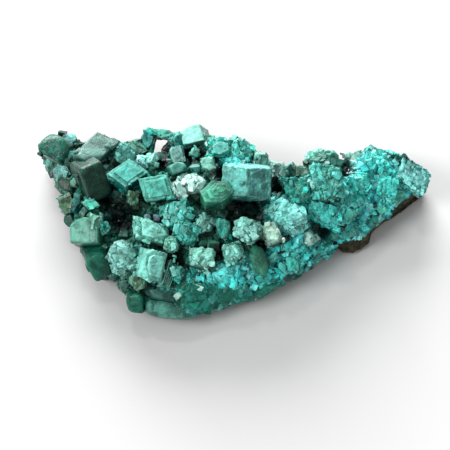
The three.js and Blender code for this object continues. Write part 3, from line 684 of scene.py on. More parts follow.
def grow_block(pile, c, fineness, most_growths, rng):
    """Adds a named crystal, the plates that step out of its front, the leaves at its right and the smaller
    parallel ones on its faces."""
    n, at, turned, calm = c["n"], c["at"], c["frame"], c["calm"]
    tint, planes, size = shaded_tone(TONES[c["tone"]], n, 0.06), HABITS[c["habit"]](n), np.array(c["size"])
    crisp, rough, plate = BLOCK_WEAR
    wear = (c["crisp"], CALM_SKIN, 0.0) if calm else (crisp, rough, plate * c["rugged"])
    parts = int(np.clip(np.ceil(size.max() / 2 / fineness), 4, 15))
    for k in range(c["leaves"]):
        shift = turned @ np.array([(0.26 + 0.062 * k) * size[0], 0.25 * (k % 3) - 0.3, -0.12 - 0.2 * k])
        leaf = size * (0, 0.88 - 0.1 * (k % 2), 0.9) + (0.17, 0, 0)
        grow(pile, planes, leaf, at + shift, turned, within(tint * 1.1), n + 50 + k, parts, LEAF_WEAR)
    if c["leaves"]:
        at = at - 0.15 * size[0] * turned[:, 0]
        size = size * (0.7, 1, 1)
    grow(pile, planes, size, at, turned, tint, n, parts, wear, calm)
    out = np.eye(3)[1 if c["tip"] < -45 else 2]
    for k in range(1, c["steps"] + 1):
        shift = (0.04 * size * (1, -1, 1) * (1 - out) + 0.45 * out) * k
        plate_size = size * (out + (1 - out) * (0.95 - 0.22 * k))
        step_tint = within(tint * STEP_SHADES[k - 1])
        grow(pile, planes, plate_size, at + turned @ shift, turned, step_tint, n + k, parts, STEP_WEAR)
    faces = min(MOST_FACES, size[0] * size[1] / MIDDLING_FACE)
    count = int(most_growths * c["growth"] * (CALM_GROWTHS if calm else 1.0) * faces)
    if not count:
        return
    small_wear = GROWTH_CRISP, GROWTH_SKIN, wear[2] * 0.5
    for k, (shift, scale) in enumerate(zip(*growths(planes, size, count, *GROWTH_SCALES, rng))):
        grow(
            pile, planes, size * scale, at + turned @ shift, turned @ slight_turn(rng),
            shaded_tone(tint, n + k, 0.08), n + k, max(2, int(0.85 * parts * scale + 0.5)), small_wear, calm,
        )


# ---------------------------------------------------------------- crystals by the thousand
def stock(kinds, count, first, parts=1):
    """Unit crystals to be strewn: corners in a cube two units wide, and triangles; cut fine and weathered
    where parts is more than 1."""
    shapes = []
    for k in range(count):
        normals, distances, body, _, rounds = body_of(HABITS[kinds[k % len(kinds)]](first + k), (2, 2, 2))
        if parts > 1:
            points, fans = cut_fine(body, rounds, parts)
            shapes.append((weathered(points, normals, distances, first + k, *STREWN_WEAR)[0], fans))
        else:
            shapes.append((body, fans_of(rounds)))
    return shapes


def cover(points, triangles, count, rng, weight=1.0):
    """Random places on a mesh, evenly by area times weight, with the outward normal and triangle of each."""
    a, b, c = (points[triangles[:, k]] for k in range(3))
    cross = np.cross(b - a, c - a)
    area = np.linalg.norm(cross, axis=1) * weight
    pick = rng.choice(len(triangles), count, p=area / area.sum())
    s, t = rng.random(count), rng.random(count)
    over = s + t > 1
    s[over], t[over] = 1 - s[over], 1 - t[over]
    at = a[pick] + s[:, None] * (b - a)[pick] + t[:, None] * (c - a)[pick]
    return at, unit(cross[pick]), pick


def frames_along(normals, rng, wander, flow=None, stray=0.5):
    """Turned frames whose third axis follows the normals, off by a random lean of about the given size.

    The second axis follows the flow, if there is one, as nearly as it can, off by about the stray.
    """
    third = unit(normals + wander * rng.normal(size=normals.shape))
    way = rng.normal(size=normals.shape) * (stray if flow is not None else 1)
    if flow is not None:
        way = way + flow
    first = unit(np.cross(unit(way), third))
    return np.stack([first, np.cross(third, first), third], 2)


def strew(name, material, shapes, at, frames, sizes, tints, rng, in_hollows=0.85):
    """One piece of many crystals: a shape's corners times size, turned by a frame, moved to a place."""
    kind = rng.integers(len(shapes), size=len(at))
    rows, faces, base = [], [], 0
    for k, (shape, fans) in enumerate(shapes):
        mine = np.flatnonzero(kind == k)
        if not len(mine):
            continue
        local = shape[None] * sizes[mine][:, None, :] / 2
        world = np.einsum("nij,npj->npi", frames[mine], local) + at[mine][:, None, :]
        grain = local + 40 * rng.random((len(mine), 1, 3))
        # Painted shade: each crystal darker towards its lower side.
        root = np.tile(np.clip(-0.2 - 0.5 * shape[:, 2], 0, 1), len(mine))
        tint = np.repeat(tints[mine], len(shape), 0)
        rows.append((world.reshape(-1, 3), tint, grain.reshape(-1, 3), root))
        offsets = base + len(shape) * np.arange(len(mine))
        faces.append((fans[None] + offsets[:, None, None]).reshape(-1, 3))
        base += len(mine) * len(shape)
    points, tint, grain, root = (np.concatenate(each) for each in zip(*rows))
    faces = np.concatenate(faces)
    out = corner_normals(points, faces)
    # Painted shade on faces that look down the back, and painted light with film on faces that look towards
    # the light.
    root = np.maximum(root, back_shade(out, points))
    no_edge = np.zeros(len(points))
    return crystal_mesh(name, points, faces, material, tint, grain, root, lit_side_and_film(out), no_edge, in_hollows)


# ---------------------------------------------------------------- rock and crust bodies
def ring_body(x, y_front, y_back, low_front, low_back, foot_in, top, across):
    """Closed rings at each x: up the front wall, over the top, down the back wall and back underneath.

    The walls' feet stand foot_in inside; the points over the top are spaced by a cosine.
    """
    x, y_front, y_back, low_front, low_back = (a[:, None] for a in (x, y_front, y_back, low_front, low_back))
    wall = np.linspace(0, 1, WALL_POINTS + 1)[:-1]
    over = 0.5 - 0.5 * np.cos(np.pi * np.linspace(0, 1, across))
    under = np.linspace(0, 1, UNDER_POINTS + 2)[1:-1]
    y = y_front + (y_back - y_front) * over
    least = low_front + (low_back - low_front) * over + LEAST_WALL
    z = np.maximum(top(np.broadcast_to(x, y.shape), y), least)
    y_ring = np.hstack([
        y_front + foot_in - foot_in * wall, y, y_back - foot_in * (1 - wall[::-1]),
        y_back - foot_in + (y_front - y_back + 2 * foot_in) * under,
    ])
    z_ring = np.hstack([
        low_front + (z[:, :1] - low_front) * wall, z, low_back + (z[:, -1:] - low_back) * wall[::-1],
        low_back + (low_front - low_back) * under,
    ])
    return np.stack([np.broadcast_to(x, y_ring.shape), y_ring, z_ring], -1)


def body_mesh(rings):
    """The rings' points, quads between neighbouring rings and a fan to a middle point at each end."""
    count, around = rings.shape[:2]
    points = np.vstack([rings.reshape(-1, 3), rings[0].mean(0), rings[-1].mean(0)])
    i, j = np.meshgrid(np.arange(count - 1), np.arange(around), indexing="ij")
    a, b = i * around + j, i * around + (j + 1) % around
    quads = np.stack([a, a + around, b + around, b], -1).reshape(-1, 4)
    j = np.arange(around)
    start = np.stack([j, (j + 1) % around, np.full(around, count * around)], -1)
    last = (count - 1) * around
    end = np.stack([last + (j + 1) % around, last + j, np.full(around, count * around + 1)], -1)
    return points, quads.tolist() + start.tolist() + end.tolist()


def crust_rings(stations, across):
    """Rings of the crust, with the lumps' noises added and broken facets pushed out along w."""
    x = np.linspace(*CRUST_ENDS, stations)
    lip = np.interp(x, [TAIL_START_X - 1, TAIL_START_X + 1], [CRUST_LIP_Z, TAIL_LIP_Z])
    y_back = np.maximum(back_y(x, along(CRUST_BACK, x)), front_y(x, 0) + LEAST_DEPTH)
    rings = ring_body(
        x, front_y(x, along(RIM_INSET, x)), y_back, lip, np.full_like(x, BACK_LIP_Z), CRUST_FOOT_IN,
        crust_z, across,
    )
    lumps = sum(height * rumple(rings, scale, seed) for height, scale, seed in CRUST_LUMPS)
    broken = facets(rings.reshape(-1, 3), 0.9, 29).reshape(rings.shape[:2])
    return rings + lumps * (1, 1, 0.8) + 0.3 * broken[..., None] * W


def rock_rings(stations, across):
    """Rings of the rock under the crust, with noises added that fade out at its flat foot."""
    def top(x, y):
        return (mound_z(x, y) - along(CRUST_THICK, x)) * ROCK_SHARE

    x = np.linspace(*ROCK_ENDS, stations)
    y_front = front_y(x, along(ROCK_FRONT, x))
    y_back = np.maximum(back_y(x, along(ROCK_BACK, x)), y_front + LEAST_DEPTH)
    zero = np.zeros_like(x)
    rings = ring_body(x, y_front, y_back, zero, zero, ROCK_FOOT_IN, top, across)
    chips = 0.30 * rumple(rings, 0.5, 41) + 0.16 * np.abs(rumple(rings, 1.4, 47))
    chips = chips + 0.07 * rumple(rings, 3.4, 53)
    rings = rings + chips * np.clip(rings[..., 2:] / 0.8, 0, 1)
    rings[..., 2] = np.maximum(rings[..., 2], 0)
    return rings


@functools.cache
def crust_body():
    """Points and faces of the crust, finely lumped."""
    return body_mesh(crust_rings(*CRUST_GRID))


@functools.cache
def crust_skin():
    """Triangles of the crust with the middle, outward normal and druse share of each."""
    points, faces = crust_body()
    fans = fans_of(faces)
    middle = points[fans].mean(1)
    out = np.cross(points[fans[:, 1]] - points[fans[:, 0]], points[fans[:, 2]] - points[fans[:, 0]])
    return points, fans, middle, unit(out + 1e-12), patch_share(*slope_place(middle), DRUSE_PATCHES)


# ---------------------------------------------------------------- the larger crystals, by name
NAMED = {
    "left_tip": block(-26.5, 11.0, 6.0, 5.0, 5.4, "bottle", roll=-24, turn=-18, tip=12, lift=0.6, crisp=7),
    "tip_slab": block(-24.9, 12.5, 3.2, 2.4, 3.4, "ice", roll=12, tip=20, lift=0.4, rugged=0.3, growth=0.3),
    "big_slab": block(-20.9, 10.6, 4.6, 6.6, 3.4, "slate", roll=-38, turn=-24, tip=34, lift=1.9, crisp=24),
    "dark_face": block(-21.4, 6.6, 5.2, 7.2, 5.4, "umber", roll=16, turn=14, tip=-16, crisp=8, habit="slab"),
    "edge_upper": block(-25.8, 7.6, 3.4, 2.8, 3.2, "grey", roll=18, turn=-20, tip=18, lift=0.7),
    "edge_middle": block(-25.2, 5.8, 3.4, 2.3, 3.0, "umber", roll=-12, turn=-14, tip=4, lift=0.9, crisp=9),
    "edge_olive": block(-24.9, 2.8, 3.0, 3.1, 3.2, "olive", roll=8, turn=-24, lift=0.8),
    "edge_lower": block(-24.6, 0.4, 1.9, 2.1, 2.2, "bottle", roll=20, turn=-20, lift=0.6),
    "bright_chip": block(-21.2, 2.7, 2.3, 2.1, 2.2, "bright", roll=30, tip=14, lift=1.1),
    "wedge": block(-21.8, -1.5, 5.8, 4.6, 5.0, "moss", roll=-6, turn=-22, tip=12, lift=0.9, crisp=24),
    "notch_left": block(-20.6, 0.2, 1.8, 2.4, 2.2, "olive_mint", roll=-14, turn=24, lift=1.9),
    "notch_right": block(-19.4, -0.8, 1.7, 2.2, 2.2, "teal", roll=10, turn=20, lift=1.4),
    "dark_lump": block(-20.2, -5.9, 4.8, 5.4, 4.6, "bottle", roll=14, turn=-10, tip=-16, crisp=9),
    "sparkling_lump": block(-16.4, -5.2, 4.0, 5.2, 4.2, "grey", habit="prism", roll=20, turn=-12, lift=1.0,
        sugar=0.9),
    "pale_slab": block(-12.2, -1.6, 6.2, 3.5, 3.2, "mint", roll=-14, turn=6, tip=22, lift=1.2, steps=1,
        rugged=0.7),
    "small_round": block(-9.2, -3.3, 2.3, 2.8, 2.6, "mint", habit="prism", roll=10, turn=12, lift=1.7),
    "stepped_block": block(-11.6, -6.6, 5.6, 5.0, 4.8, "mint", roll=-22, turn=14, tip=14, lift=1.2, steps=1,
        leaves=5, rugged=0.6),
    "olive_wedge": block(-14.1, -8.8, 2.3, 2.7, 2.6, "olive", roll=28, turn=-6, tip=6, lift=1.0),
    "oval_left": block(-8.1, -7.6, 1.7, 2.3, 2.0, "teal", habit="prism", roll=16, lift=1.2),
    "corner_block": block(-14.5, -11.7, 3.7, 3.5, 3.6, "bottle", roll=-12, turn=-12, tip=-8, crisp=9),
    "ledge": block(-9.6, -12.9, 8.8, 3.4, 3.6, "moss", roll=-4, tip=10, lift=-0.3, crisp=3.5, growth=0.0),
    "stepped_plate": block(-15.8, 6.7, 5.4, 4.4, 3.4, "teal", roll=33, turn=10, tip=30, lift=1.5, steps=1,
        rugged=0.5, growth=0.6, habit="slab"),
    "dark_triangle": block(-16.7, 10.2, 3.8, 3.8, 3.4, "sage", roll=44, turn=10, tip=-6, lift=1.2),
    "pale_tuft_left": block(-13.7, 9.0, 2.0, 2.2, 2.4, "ice", habit="prism", roll=14, lift=1.3, sugar=0.6),
    "pale_tuft_right": block(-12.3, 9.4, 1.9, 2.4, 2.4, "pale", habit="prism", roll=-22, turn=12, lift=1.2),
    "arch_left": block(-12.8, 12.6, 2.3, 3.2, 2.6, "teal", roll=-18, turn=-10, lift=0.9, sugar=0.15,
        rugged=0.5, growth=0.5),
    "arch_top": block(-10.9, 13.5, 4.6, 1.7, 2.4, "sea", roll=-5, tip=12, lift=0.9, sugar=0.15, rugged=0.5,
        growth=0.5),
    "arch_right": block(-8.1, 12.2, 3.0, 3.2, 2.8, "teal", roll=22, turn=12, lift=0.9, sugar=0.15, rugged=0.5,
        growth=0.5),
    "pale_face": block(-8.3, 10.2, 2.6, 2.8, 3.0, "grey", roll=8, turn=-16, tip=10, lift=1.5, rugged=0.3,
        growth=0.3),
    "top_block": block(-5.6, 13.0, 4.0, 3.2, 4.0, "frost", roll=14, turn=-16, tip=20, lift=1.0, rugged=0.35,
        growth=0.4),
    "cavity_crystal": block(-5.7, 10.6, 1.6, 2.0, 1.9, "sage", habit="prism", roll=-14, lift=1.2),
    "back_ridge_left": block(-1.9, 10.8, 4.6, 3.8, 3.8, "teal", roll=-8, tip=22, lift=0.8, steps=1,
        sugar=0.5),
    "back_ridge_right": block(1.2, 10.8, 4.2, 3.6, 3.8, "bright_sea", roll=-26, turn=12, tip=22, lift=0.6,
        sugar=0.5),
    "back_slope_upper": block(3.9, 9.0, 3.2, 2.8, 3.2, "pale", roll=-34, turn=10, tip=16, lift=0.6,
        sugar=0.6),
    "back_slope_lower": block(6.6, 7.8, 2.6, 2.4, 2.8, "white", roll=-20, turn=6, tip=12, lift=1.2,
        sugar=0.5),
    "cavity_wall": block(-3.6, 9.0, 2.4, 2.6, 2.6, "grey", roll=24, turn=-12, tip=8, lift=0.9),
    "ridged_chip": block(-8.4, 8.0, 3.4, 2.1, 2.6, "moss", roll=10, tip=18, lift=1.2),
    "square_stepped": block(-11.4, 4.9, 5.2, 4.1, 4.2, "sea", roll=8, turn=-6, tip=12, lift=1.7, steps=1,
        rugged=0.5, habit="slab", seed=5),
    "olive_chip": block(-15.0, 3.7, 1.9, 2.4, 2.2, "olive", roll=-8, turn=14, lift=1.5),
    "white_tuft_left": block(-7.9, 4.9, 2.2, 2.8, 2.8, "white", habit="prism", roll=18, turn=-12, lift=2.5,
        sugar=1.3),
    "white_tuft_right": block(-5.9, 5.7, 2.6, 2.6, 2.8, "white", habit="prism", roll=-24, turn=8, lift=2.4,
        sugar=1.3),
    "rosette": block(-2.4, 3.8, 4.8, 4.8, 3.8, "jade", habit="column", roll=22, turn=8, tip=-70, lift=1.7,
        steps=3, growth=0.0, rugged=0.1),
    "great_block": block(2.1, 5.6, 7.6, 6.2, 7.0, "sage", habit="column", roll=-3, turn=-8, tip=-6, lift=1.8,
        seed=3, growth=0.0, rugged=0.8),
    "violet_left": block(-12.7, 0.7, 1.2, 1.3, 1.6, "violet", roll=8, lift=1.3),
    "violet_right": block(-11.4, 0.7, 1.3, 1.2, 1.6, "violet", roll=-12, lift=1.3),
    "teal_lump_upper": block(-8.0, 1.4, 4.8, 3.6, 3.8, "sea", roll=20, turn=-10, tip=14, lift=1.4, sugar=0.5,
        rugged=1.2),
    "teal_lump_lower": block(-7.0, -1.4, 3.6, 3.6, 3.6, "sea", habit="prism", roll=-18, tip=10, lift=1.6,
        sugar=0.5),
    "oval_right": block(-4.1, -0.2, 2.7, 2.8, 3.0, "grey", habit="prism", roll=-30, turn=10, lift=1.7),
    "tall_chip": block(-1.5, -0.9, 2.4, 3.4, 2.8, "teal", roll=6, turn=6, tip=10, lift=1.2),
    "pale_block": block(-4.8, -5.4, 4.3, 3.2, 3.6, "pale", roll=-14, turn=-4, tip=24, lift=1.6),
    "pale_round": block(0, -4.6, 3.1, 3.2, 3.4, "mint", habit="prism", roll=30, turn=-8, tip=20, lift=1.6,
        sugar=0.3),
    "pale_knob": block(2.1, -1.3, 4.2, 3.5, 4.0, "pale", habit="prism", roll=-12, tip=24, lift=2.2,
        sugar=0.5),
    "cream_knob": block(5.7, -1.9, 2.9, 3.4, 3.4, "cream", roll=16, turn=8, tip=18, lift=2.0),
    "bead": block(5.3, 1.6, 1.4, 1.3, 1.8, "ice", roll=20, lift=1.4),
    "olive_pair_left": block(8.7, 7.7, 2.2, 2.1, 2.6, "mint", roll=30, turn=-14, lift=1.9),
    "olive_pair_right": block(10.3, 7.5, 2.1, 2.1, 2.6, "cream", roll=-16, turn=10, lift=1.8),
    "grey_block": block(9.7, 4.8, 4.6, 4.2, 4.0, "teal", roll=8, turn=6, tip=10, lift=1.2, sugar=0.6),
    "olive_dome": block(13.6, 9.3, 3.4, 5.8, 4.0, "mint", habit="prism", roll=82, turn=8, tip=10, lift=0.7,
        sugar=0.2),
    "teal_block": block(14.0, 5.8, 5.4, 5.6, 5.0, "sea", roll=-8, turn=-6, tip=12, lift=1.5, sugar=0.7),
    "veined_bulge": block(8.4, 0.8, 4.8, 6.2, 4.4, "ice", habit="prism", roll=60, turn=8, tip=12, lift=0.8,
        sugar=0.6),
    "turquoise_ridge": block(13.6, 1.1, 5.6, 2.6, 3.4, "turquoise", roll=-22, tip=16, lift=1.2, sugar=1.4),
    "pink_grey_chip": block(11.4, -2.2, 2.1, 2.4, 2.4, "white", roll=22, turn=-14, lift=1.4),
    "long_olive": block(3.9, -5.8, 2.6, 5.8, 3.4, "jade", habit="prism", roll=18, turn=-10, tip=-14, lift=1.1,
        crisp=16, calm=True),
    "tail_lump_back": block(21.8, 9.0, 3.6, 5.0, 3.8, "turquoise", habit="prism", roll=74, turn=8, tip=12,
        lift=0.6, sugar=1.3),
    "tail_shoulder": block(18.8, 9.7, 3.4, 2.8, 3.0, "white", roll=16, turn=-8, tip=14, lift=0.7, sugar=0.5),
    "tail_top": block(24.3, 9.2, 3.2, 2.6, 3.0, "turquoise", roll=-30, turn=8, tip=14, sugar=1.3),
    "tail_lump_front": block(19.0, 5.8, 3.4, 3.4, 3.2, "turquoise", habit="prism", roll=20, turn=14, lift=0.6,
        sugar=1.0),
    "tail_middle": block(23.2, 5.4, 3.4, 3.2, 2.8, "turquoise", roll=-30, turn=8, tip=10, lift=0.4,
        sugar=1.4),
    "tail_ridge": block(27.0, 7.2, 5.6, 4.0, 4.0, "ice", roll=-34, turn=14, tip=14, lift=0.3, sugar=1.2),
    "ledge_plate": block(-10.8, -11.0, 4.8, 1.5, 2.4, "dusk", roll=-14, turn=-6, tip=24),
    # Painted highlight: a white chip standing for a glint on the ledge.
    "ledge_chip": block(-8.3, -11.1, 1.4, 1.1, 1.6, "white", roll=30, turn=16, tip=20, rugged=0.3,
        growth=0.5),
}


# ---------------------------------------------------------------- where every crystal sits
@functools.cache
def blocks():
    """The named crystals, each with its number, its place in space and its body."""
    found = []
    for name, c in NAMED.items():
        n = c["seed"] or seed_of(name)
        at = spot(*c["uv"], c["lift"])
        found.append({**c, "n": n, "at": at, "body": body_of(HABITS[c["habit"]](n), c["size"])})
    return found


def free(feet, u, v, radius):
    """Whether a crystal at (u, v) keeps its distance from all the feet, each (u, v, radius)."""
    return all(math.hypot(u - a, v - b) > SPACING * (radius + s) + ROOM for a, b, s in feet)


def small_crystal(u, v, size, lift, n, habit):
    """A small crystal on the crust at (u, v), a little turned and stretched by its number."""
    return {
        "habit": habit, "n": n, "at": spot(u, v, lift, crust_z),
        "size": (size, size * between(0.8, 1.2, n, 31), size * between(0.9, 1.2, n, 32)),
        "frame": pose(between(-45, 45, n, 33), between(-26, 26, n, 34), between(-16, 30, n, 35)),
    }


@functools.cache
def small_places():
    """Small crystals along both edges, on a loose grid between the named ones, and in a row up the back."""
    feet = [(*c["uv"], 0.5 * min(c["size"][:2])) for c in NAMED.values()]
    found = []

    def put(u, v, size, lift, n, habit):
        """One more, where it is free."""
        if free(feet, u, v, size / 2):
            feet.append((u, v, size / 2))
            found.append(small_crystal(u, v, size, lift, n, habit))

    for which, (edge, side) in enumerate(((BACK_EDGE, -1), (FRONT_EDGE, 1))):
        for k, u in enumerate(np.arange(-28, 29, EDGE_STEP)):
            n = FIRST["edge"] * (which + 1) + k + 1
            size = between(*EDGE_SIZE, n, 30)
            v = along(edge, u) + side * (size * 0.55 + 0.25 * along(RIM_INSET, u))
            if not (u > TAIL_START_X and side > 0):
                put(u, v, size, 0.1, n, "chip")
    n = FIRST["grid"]
    for u, v in itertools.product(np.arange(-27, 29, GRID_STEP), np.arange(-14, 14, GRID_STEP)):
        n += 1
        a, b = u + between(-0.6, 0.6, n, 28), v + between(-0.6, 0.6, n, 29)
        size = between(*GRID_SIZE, n, 30)
        if b > along(BACK_EDGE, a) - size / 2 or b < along(FRONT_EDGE, a) + size / 2:
            continue
        if a > TAIL_START_X and b < along(FRONT_EDGE, a) + BARE_RIM:
            continue
        if any(math.hypot(a - p, b - q) < r * 0.75 for p, q, r, _ in HOLLOWS):
            continue
        put(a, b, size, 0.25, n, "prism" if chance(n, 36) < 0.15 else "chip")
    for k in range(BACK_ROW_COUNT):
        x = BACK_ROW_START_X + BACK_ROW_STEP * k + between(-0.5, 0.5, k, 40)
        z = BACK_LIP_Z + (along(CREST, x) * BACK_RIM - BACK_LIP_Z) * between(0.35, 0.8, k, 42)
        size = between(*BACK_ROW_SIZE, k, 41)
        found.append({
            "habit": "rhomb", "n": FIRST["back"] + k, "at": np.array([x, back_y(x, BACK_INSET) - 0.2, z]),
            "size": (size, size * 0.9, size),
            "frame": pose(between(-40, 40, k, 43), between(150, 210, k, 44), between(-30, 10, k, 45)),
        })
    return found


def outside_gap(points):
    """True where a point is clear of the gap under the arch."""
    u, v = slope_place(points)
    return (np.abs(u - ARCH_GAP[0]) > ARCH_GAP_HALF[0]) | (np.abs(v - ARCH_GAP[1]) > ARCH_GAP_HALF[1])


def in_blocks(points, depth):
    """True where a point is deeper than depth in one of the named crystals."""
    inside = np.zeros(len(points), bool)
    for c in blocks():
        normals, distances, *_ = c["body"]
        inside |= ((points - c["at"]) @ c["frame"] @ normals.T < distances - depth).all(1)
    return inside


def druse_tints(points, normals, rng):
    """Painted light and shade: turquoise where it looks up to the light, deeper teal where it looks down, in
    streaks of lagoon, ice and sombre, the ice ones paler where lit.

    Single crystals are painted white as glints, mostly in swarms, or dark, the dark ones more often where
    unlit.
    """
    cloud = noise(points * 0.32, 61)[:, None]
    streak = noise(points * (0.7, 1.5, 1.5) + 31, 67)[:, None]
    thread = noise(points * (1.6, 3.2, 3.2) + 11, 73)[:, None]
    lit = np.clip(lit_side_and_film(normals)[:, None] * 1.2 + 0.2 + 0.35 * cloud, 0, 1)
    tint = towards(TONES["teal"], TONES["turquoise"] * 1.3, lit)
    tint = towards(tint, TONES["lagoon"], np.clip(cloud * 1.2 - 0.1, 0, 0.5))
    tint = tint + (TONES["ice"] * 1.15 - tint) * np.clip(streak * 1.8 + 0.1, 0, 0.85) * (0.3 + 0.7 * lit)
    tint = towards(tint, TONES["sombre"] * 3, np.clip(-streak * 2.6 - 0.3, 0, 0.8))
    tint = tint * (1.7 + 1.35 * thread) * (1.0, 1.0, 1.05)
    pick = rng.random(len(points))[:, None]
    swarm = np.clip(noise(points * 0.6 + 57, 71)[:, None] * 1.6 - 0.2, 0, 1)
    tint = np.where(pick < 0.05 + 0.25 * swarm, TONES["glint"], tint)
    tint = np.where(pick > 0.97 - 0.1 * (1 - lit), TONES["sombre"], tint)
    return within(tint * rng.uniform(1.0, 1.5, (len(points), 1)))


def scale_tints(points, rng):
    """Streaks of bottle, teal and sage green, with a few crystals painted white as glints."""
    streak = noise(points * (0.5, 1.2, 1.2) + 71, 83)[:, None]
    tint = towards(TONES["teal"], TONES["bottle"], np.clip(0.5 - 1.5 * streak, 0, 1))
    tint = towards(tint, TONES["sage"], np.clip(streak * 2 - 0.4, 0, 0.7))
    glint = rng.random((len(points), 1)) < 0.035
    return np.where(glint, TONES["glint"], tint * rng.uniform(0.6, 1.3, (len(points), 1)))


def small_tints(points, numbers):
    """Turquoise in the druse and one of the darker greens elsewhere, dimmed outside the druse as painted
    shade of the gaps they fill.
    """
    tones = np.array([TONES[SMALL_TONES[int(chance(n, 84) * len(SMALL_TONES))]] for n in numbers])
    blue = 0.8 * patch_share(*slope_place(points), DRUSE_PATCHES)[:, None]
    return tones * (0.55 + 0.45 * blue) + (TONES["turquoise"] - tones) * blue


def druse_flow(points):
    """The way the long druse crystals point: out from the middle of the nearest patch, along the slope."""
    away = np.stack(slope_place(points), 1)[:, None] - np.array(DRUSE_PATCHES)[:, :2]
    nearest = np.argmin((away**2).sum(-1), 1)
    away = away[np.arange(len(away)), nearest]
    return unit(away[:, :1] * U + away[:, 1:] * V + 1e-9)


# ---------------------------------------------------------------- finishes
class Value:
    """A socket of one finish; sums, differences and products of it add the nodes they need."""

    def __init__(self, finish, socket):
        self.finish, self.socket = finish, socket

    def __add__(self, other):
        return self.finish.maths("ADD", self, other)

    __radd__ = __add__

    def __sub__(self, other):
        return self.finish.maths("SUBTRACT", self, other)

    def __rsub__(self, other):
        return self.finish.maths("SUBTRACT", other, self)

    def __mul__(self, other):
        return self.finish.maths("MULTIPLY", self, other)

    __rmul__ = __mul__


class Finish:
    """One material's nodes."""

    def __init__(self, name):
        self.material = bpy.data.materials.new(name)
        self.material.use_nodes = True
        self.nodes, self.links = self.material.node_tree.nodes, self.material.node_tree.links
        self.nodes.clear()

    def node(self, kind, settings=None, sockets=None, out=0):
        """A node of any type: its settings first, then the values or links of its sockets."""
        made = self.nodes.new(kind)
        for key, value in (settings or {}).items():
            setattr(made, key, value)
        for key, value in (sockets or {}).items():
            if isinstance(value, Value):
                self.links.new(value.socket, made.inputs[key])
            else:
                made.inputs[key].default_value = value
        return Value(self, made.outputs[out])

    def maths(self, operation, first, second):
        """Math on numbers, Vector Math as soon as one of the two is a colour or a vector."""
        sides, kind = (first, second), "ShaderNodeMath"
        if any(isinstance(s, Value) and s.socket.type in {"VECTOR", "RGBA"} for s in sides):
            sides = [(s, s, s) if isinstance(s, (int, float)) else s for s in sides]
            kind = "ShaderNodeVectorMath"
        return self.node(kind, {"operation": operation}, dict(enumerate(sides)))

    def attribute(self, name, out="Fac"):
        """What the corners store under a name."""
        return self.node("ShaderNodeAttribute", {"attribute_name": name}, out=out)

    def place(self):
        """Object coordinates in millimetres."""
        return self.node("ShaderNodeTexCoord", out="Object") * (1 / MM)

    def smooth(self, value, low, high):
        """0 below low, 1 above high, 3t^2 - 2t^3 between them."""
        return self.node(
            "ShaderNodeMapRange", {"interpolation_type": "SMOOTHSTEP"},
            {"Value": value, "From Min": low, "From Max": high},
        )

    def mix(self, factor, first, second):
        """First colour towards the second by the factor."""
        first, second = (c if isinstance(c, Value) else (*c, 1) for c in (first, second))
        return self.node(
            "ShaderNodeMix", {"data_type": "RGBA", "clamp_factor": True},
            {0: factor, 6: first, 7: second}, out=2,
        )

    def noise(self, vector, scale, detail=2.0, rough=0.5):
        """Cloudy 0..1 noise, with a scale in waves per unit of the vector."""
        sockets = {"Vector": vector, "Scale": scale, "Detail": detail, "Roughness": rough}
        return self.node("ShaderNodeTexNoise", sockets=sockets)

    def cells(self, vector, scale, feature="F1"):
        """Distance to the middle of the nearest of scattered cells, or to its edge."""
        return self.node("ShaderNodeTexVoronoi", {"feature": feature}, {"Vector": vector, "Scale": scale})

    def bump(self, height, strength, depth):
        """Relief of the given depth in millimetres."""
        sockets = {"Height": height, "Strength": strength, "Distance": depth * MM}
        return self.node("ShaderNodeBump", sockets=sockets)

    def done(self, **sockets):
        """Ends in a principled shader; the keys are its sockets, with _ for a space."""
        sockets = {key.replace("_", " "): value for key, value in sockets.items()}
        shader = self.node("ShaderNodeBsdfPrincipled", sockets=sockets)
        self.links.new(shader.socket, self.nodes.new("ShaderNodeOutputMaterial").inputs["Surface"])
        return self.material


def colours():
    """The colours that a user can change."""
    return bpy.context.scene.dioptase_colours


def sizes():
    """The sizes and counts that a user can change."""
    return bpy.context.scene.dioptase_sizes


# How far light spreads under the skin of crystal and crust, and the colour of the rock's seams.
GLOW = {
    "Subsurface_Weight": 0.3, "Subsurface_Radius": (0.8, 1.0, 0.95), "Subsurface_Scale": 0.5 * MM,
}
SEAM_TONE = (0.01, 0.009, 0.007)


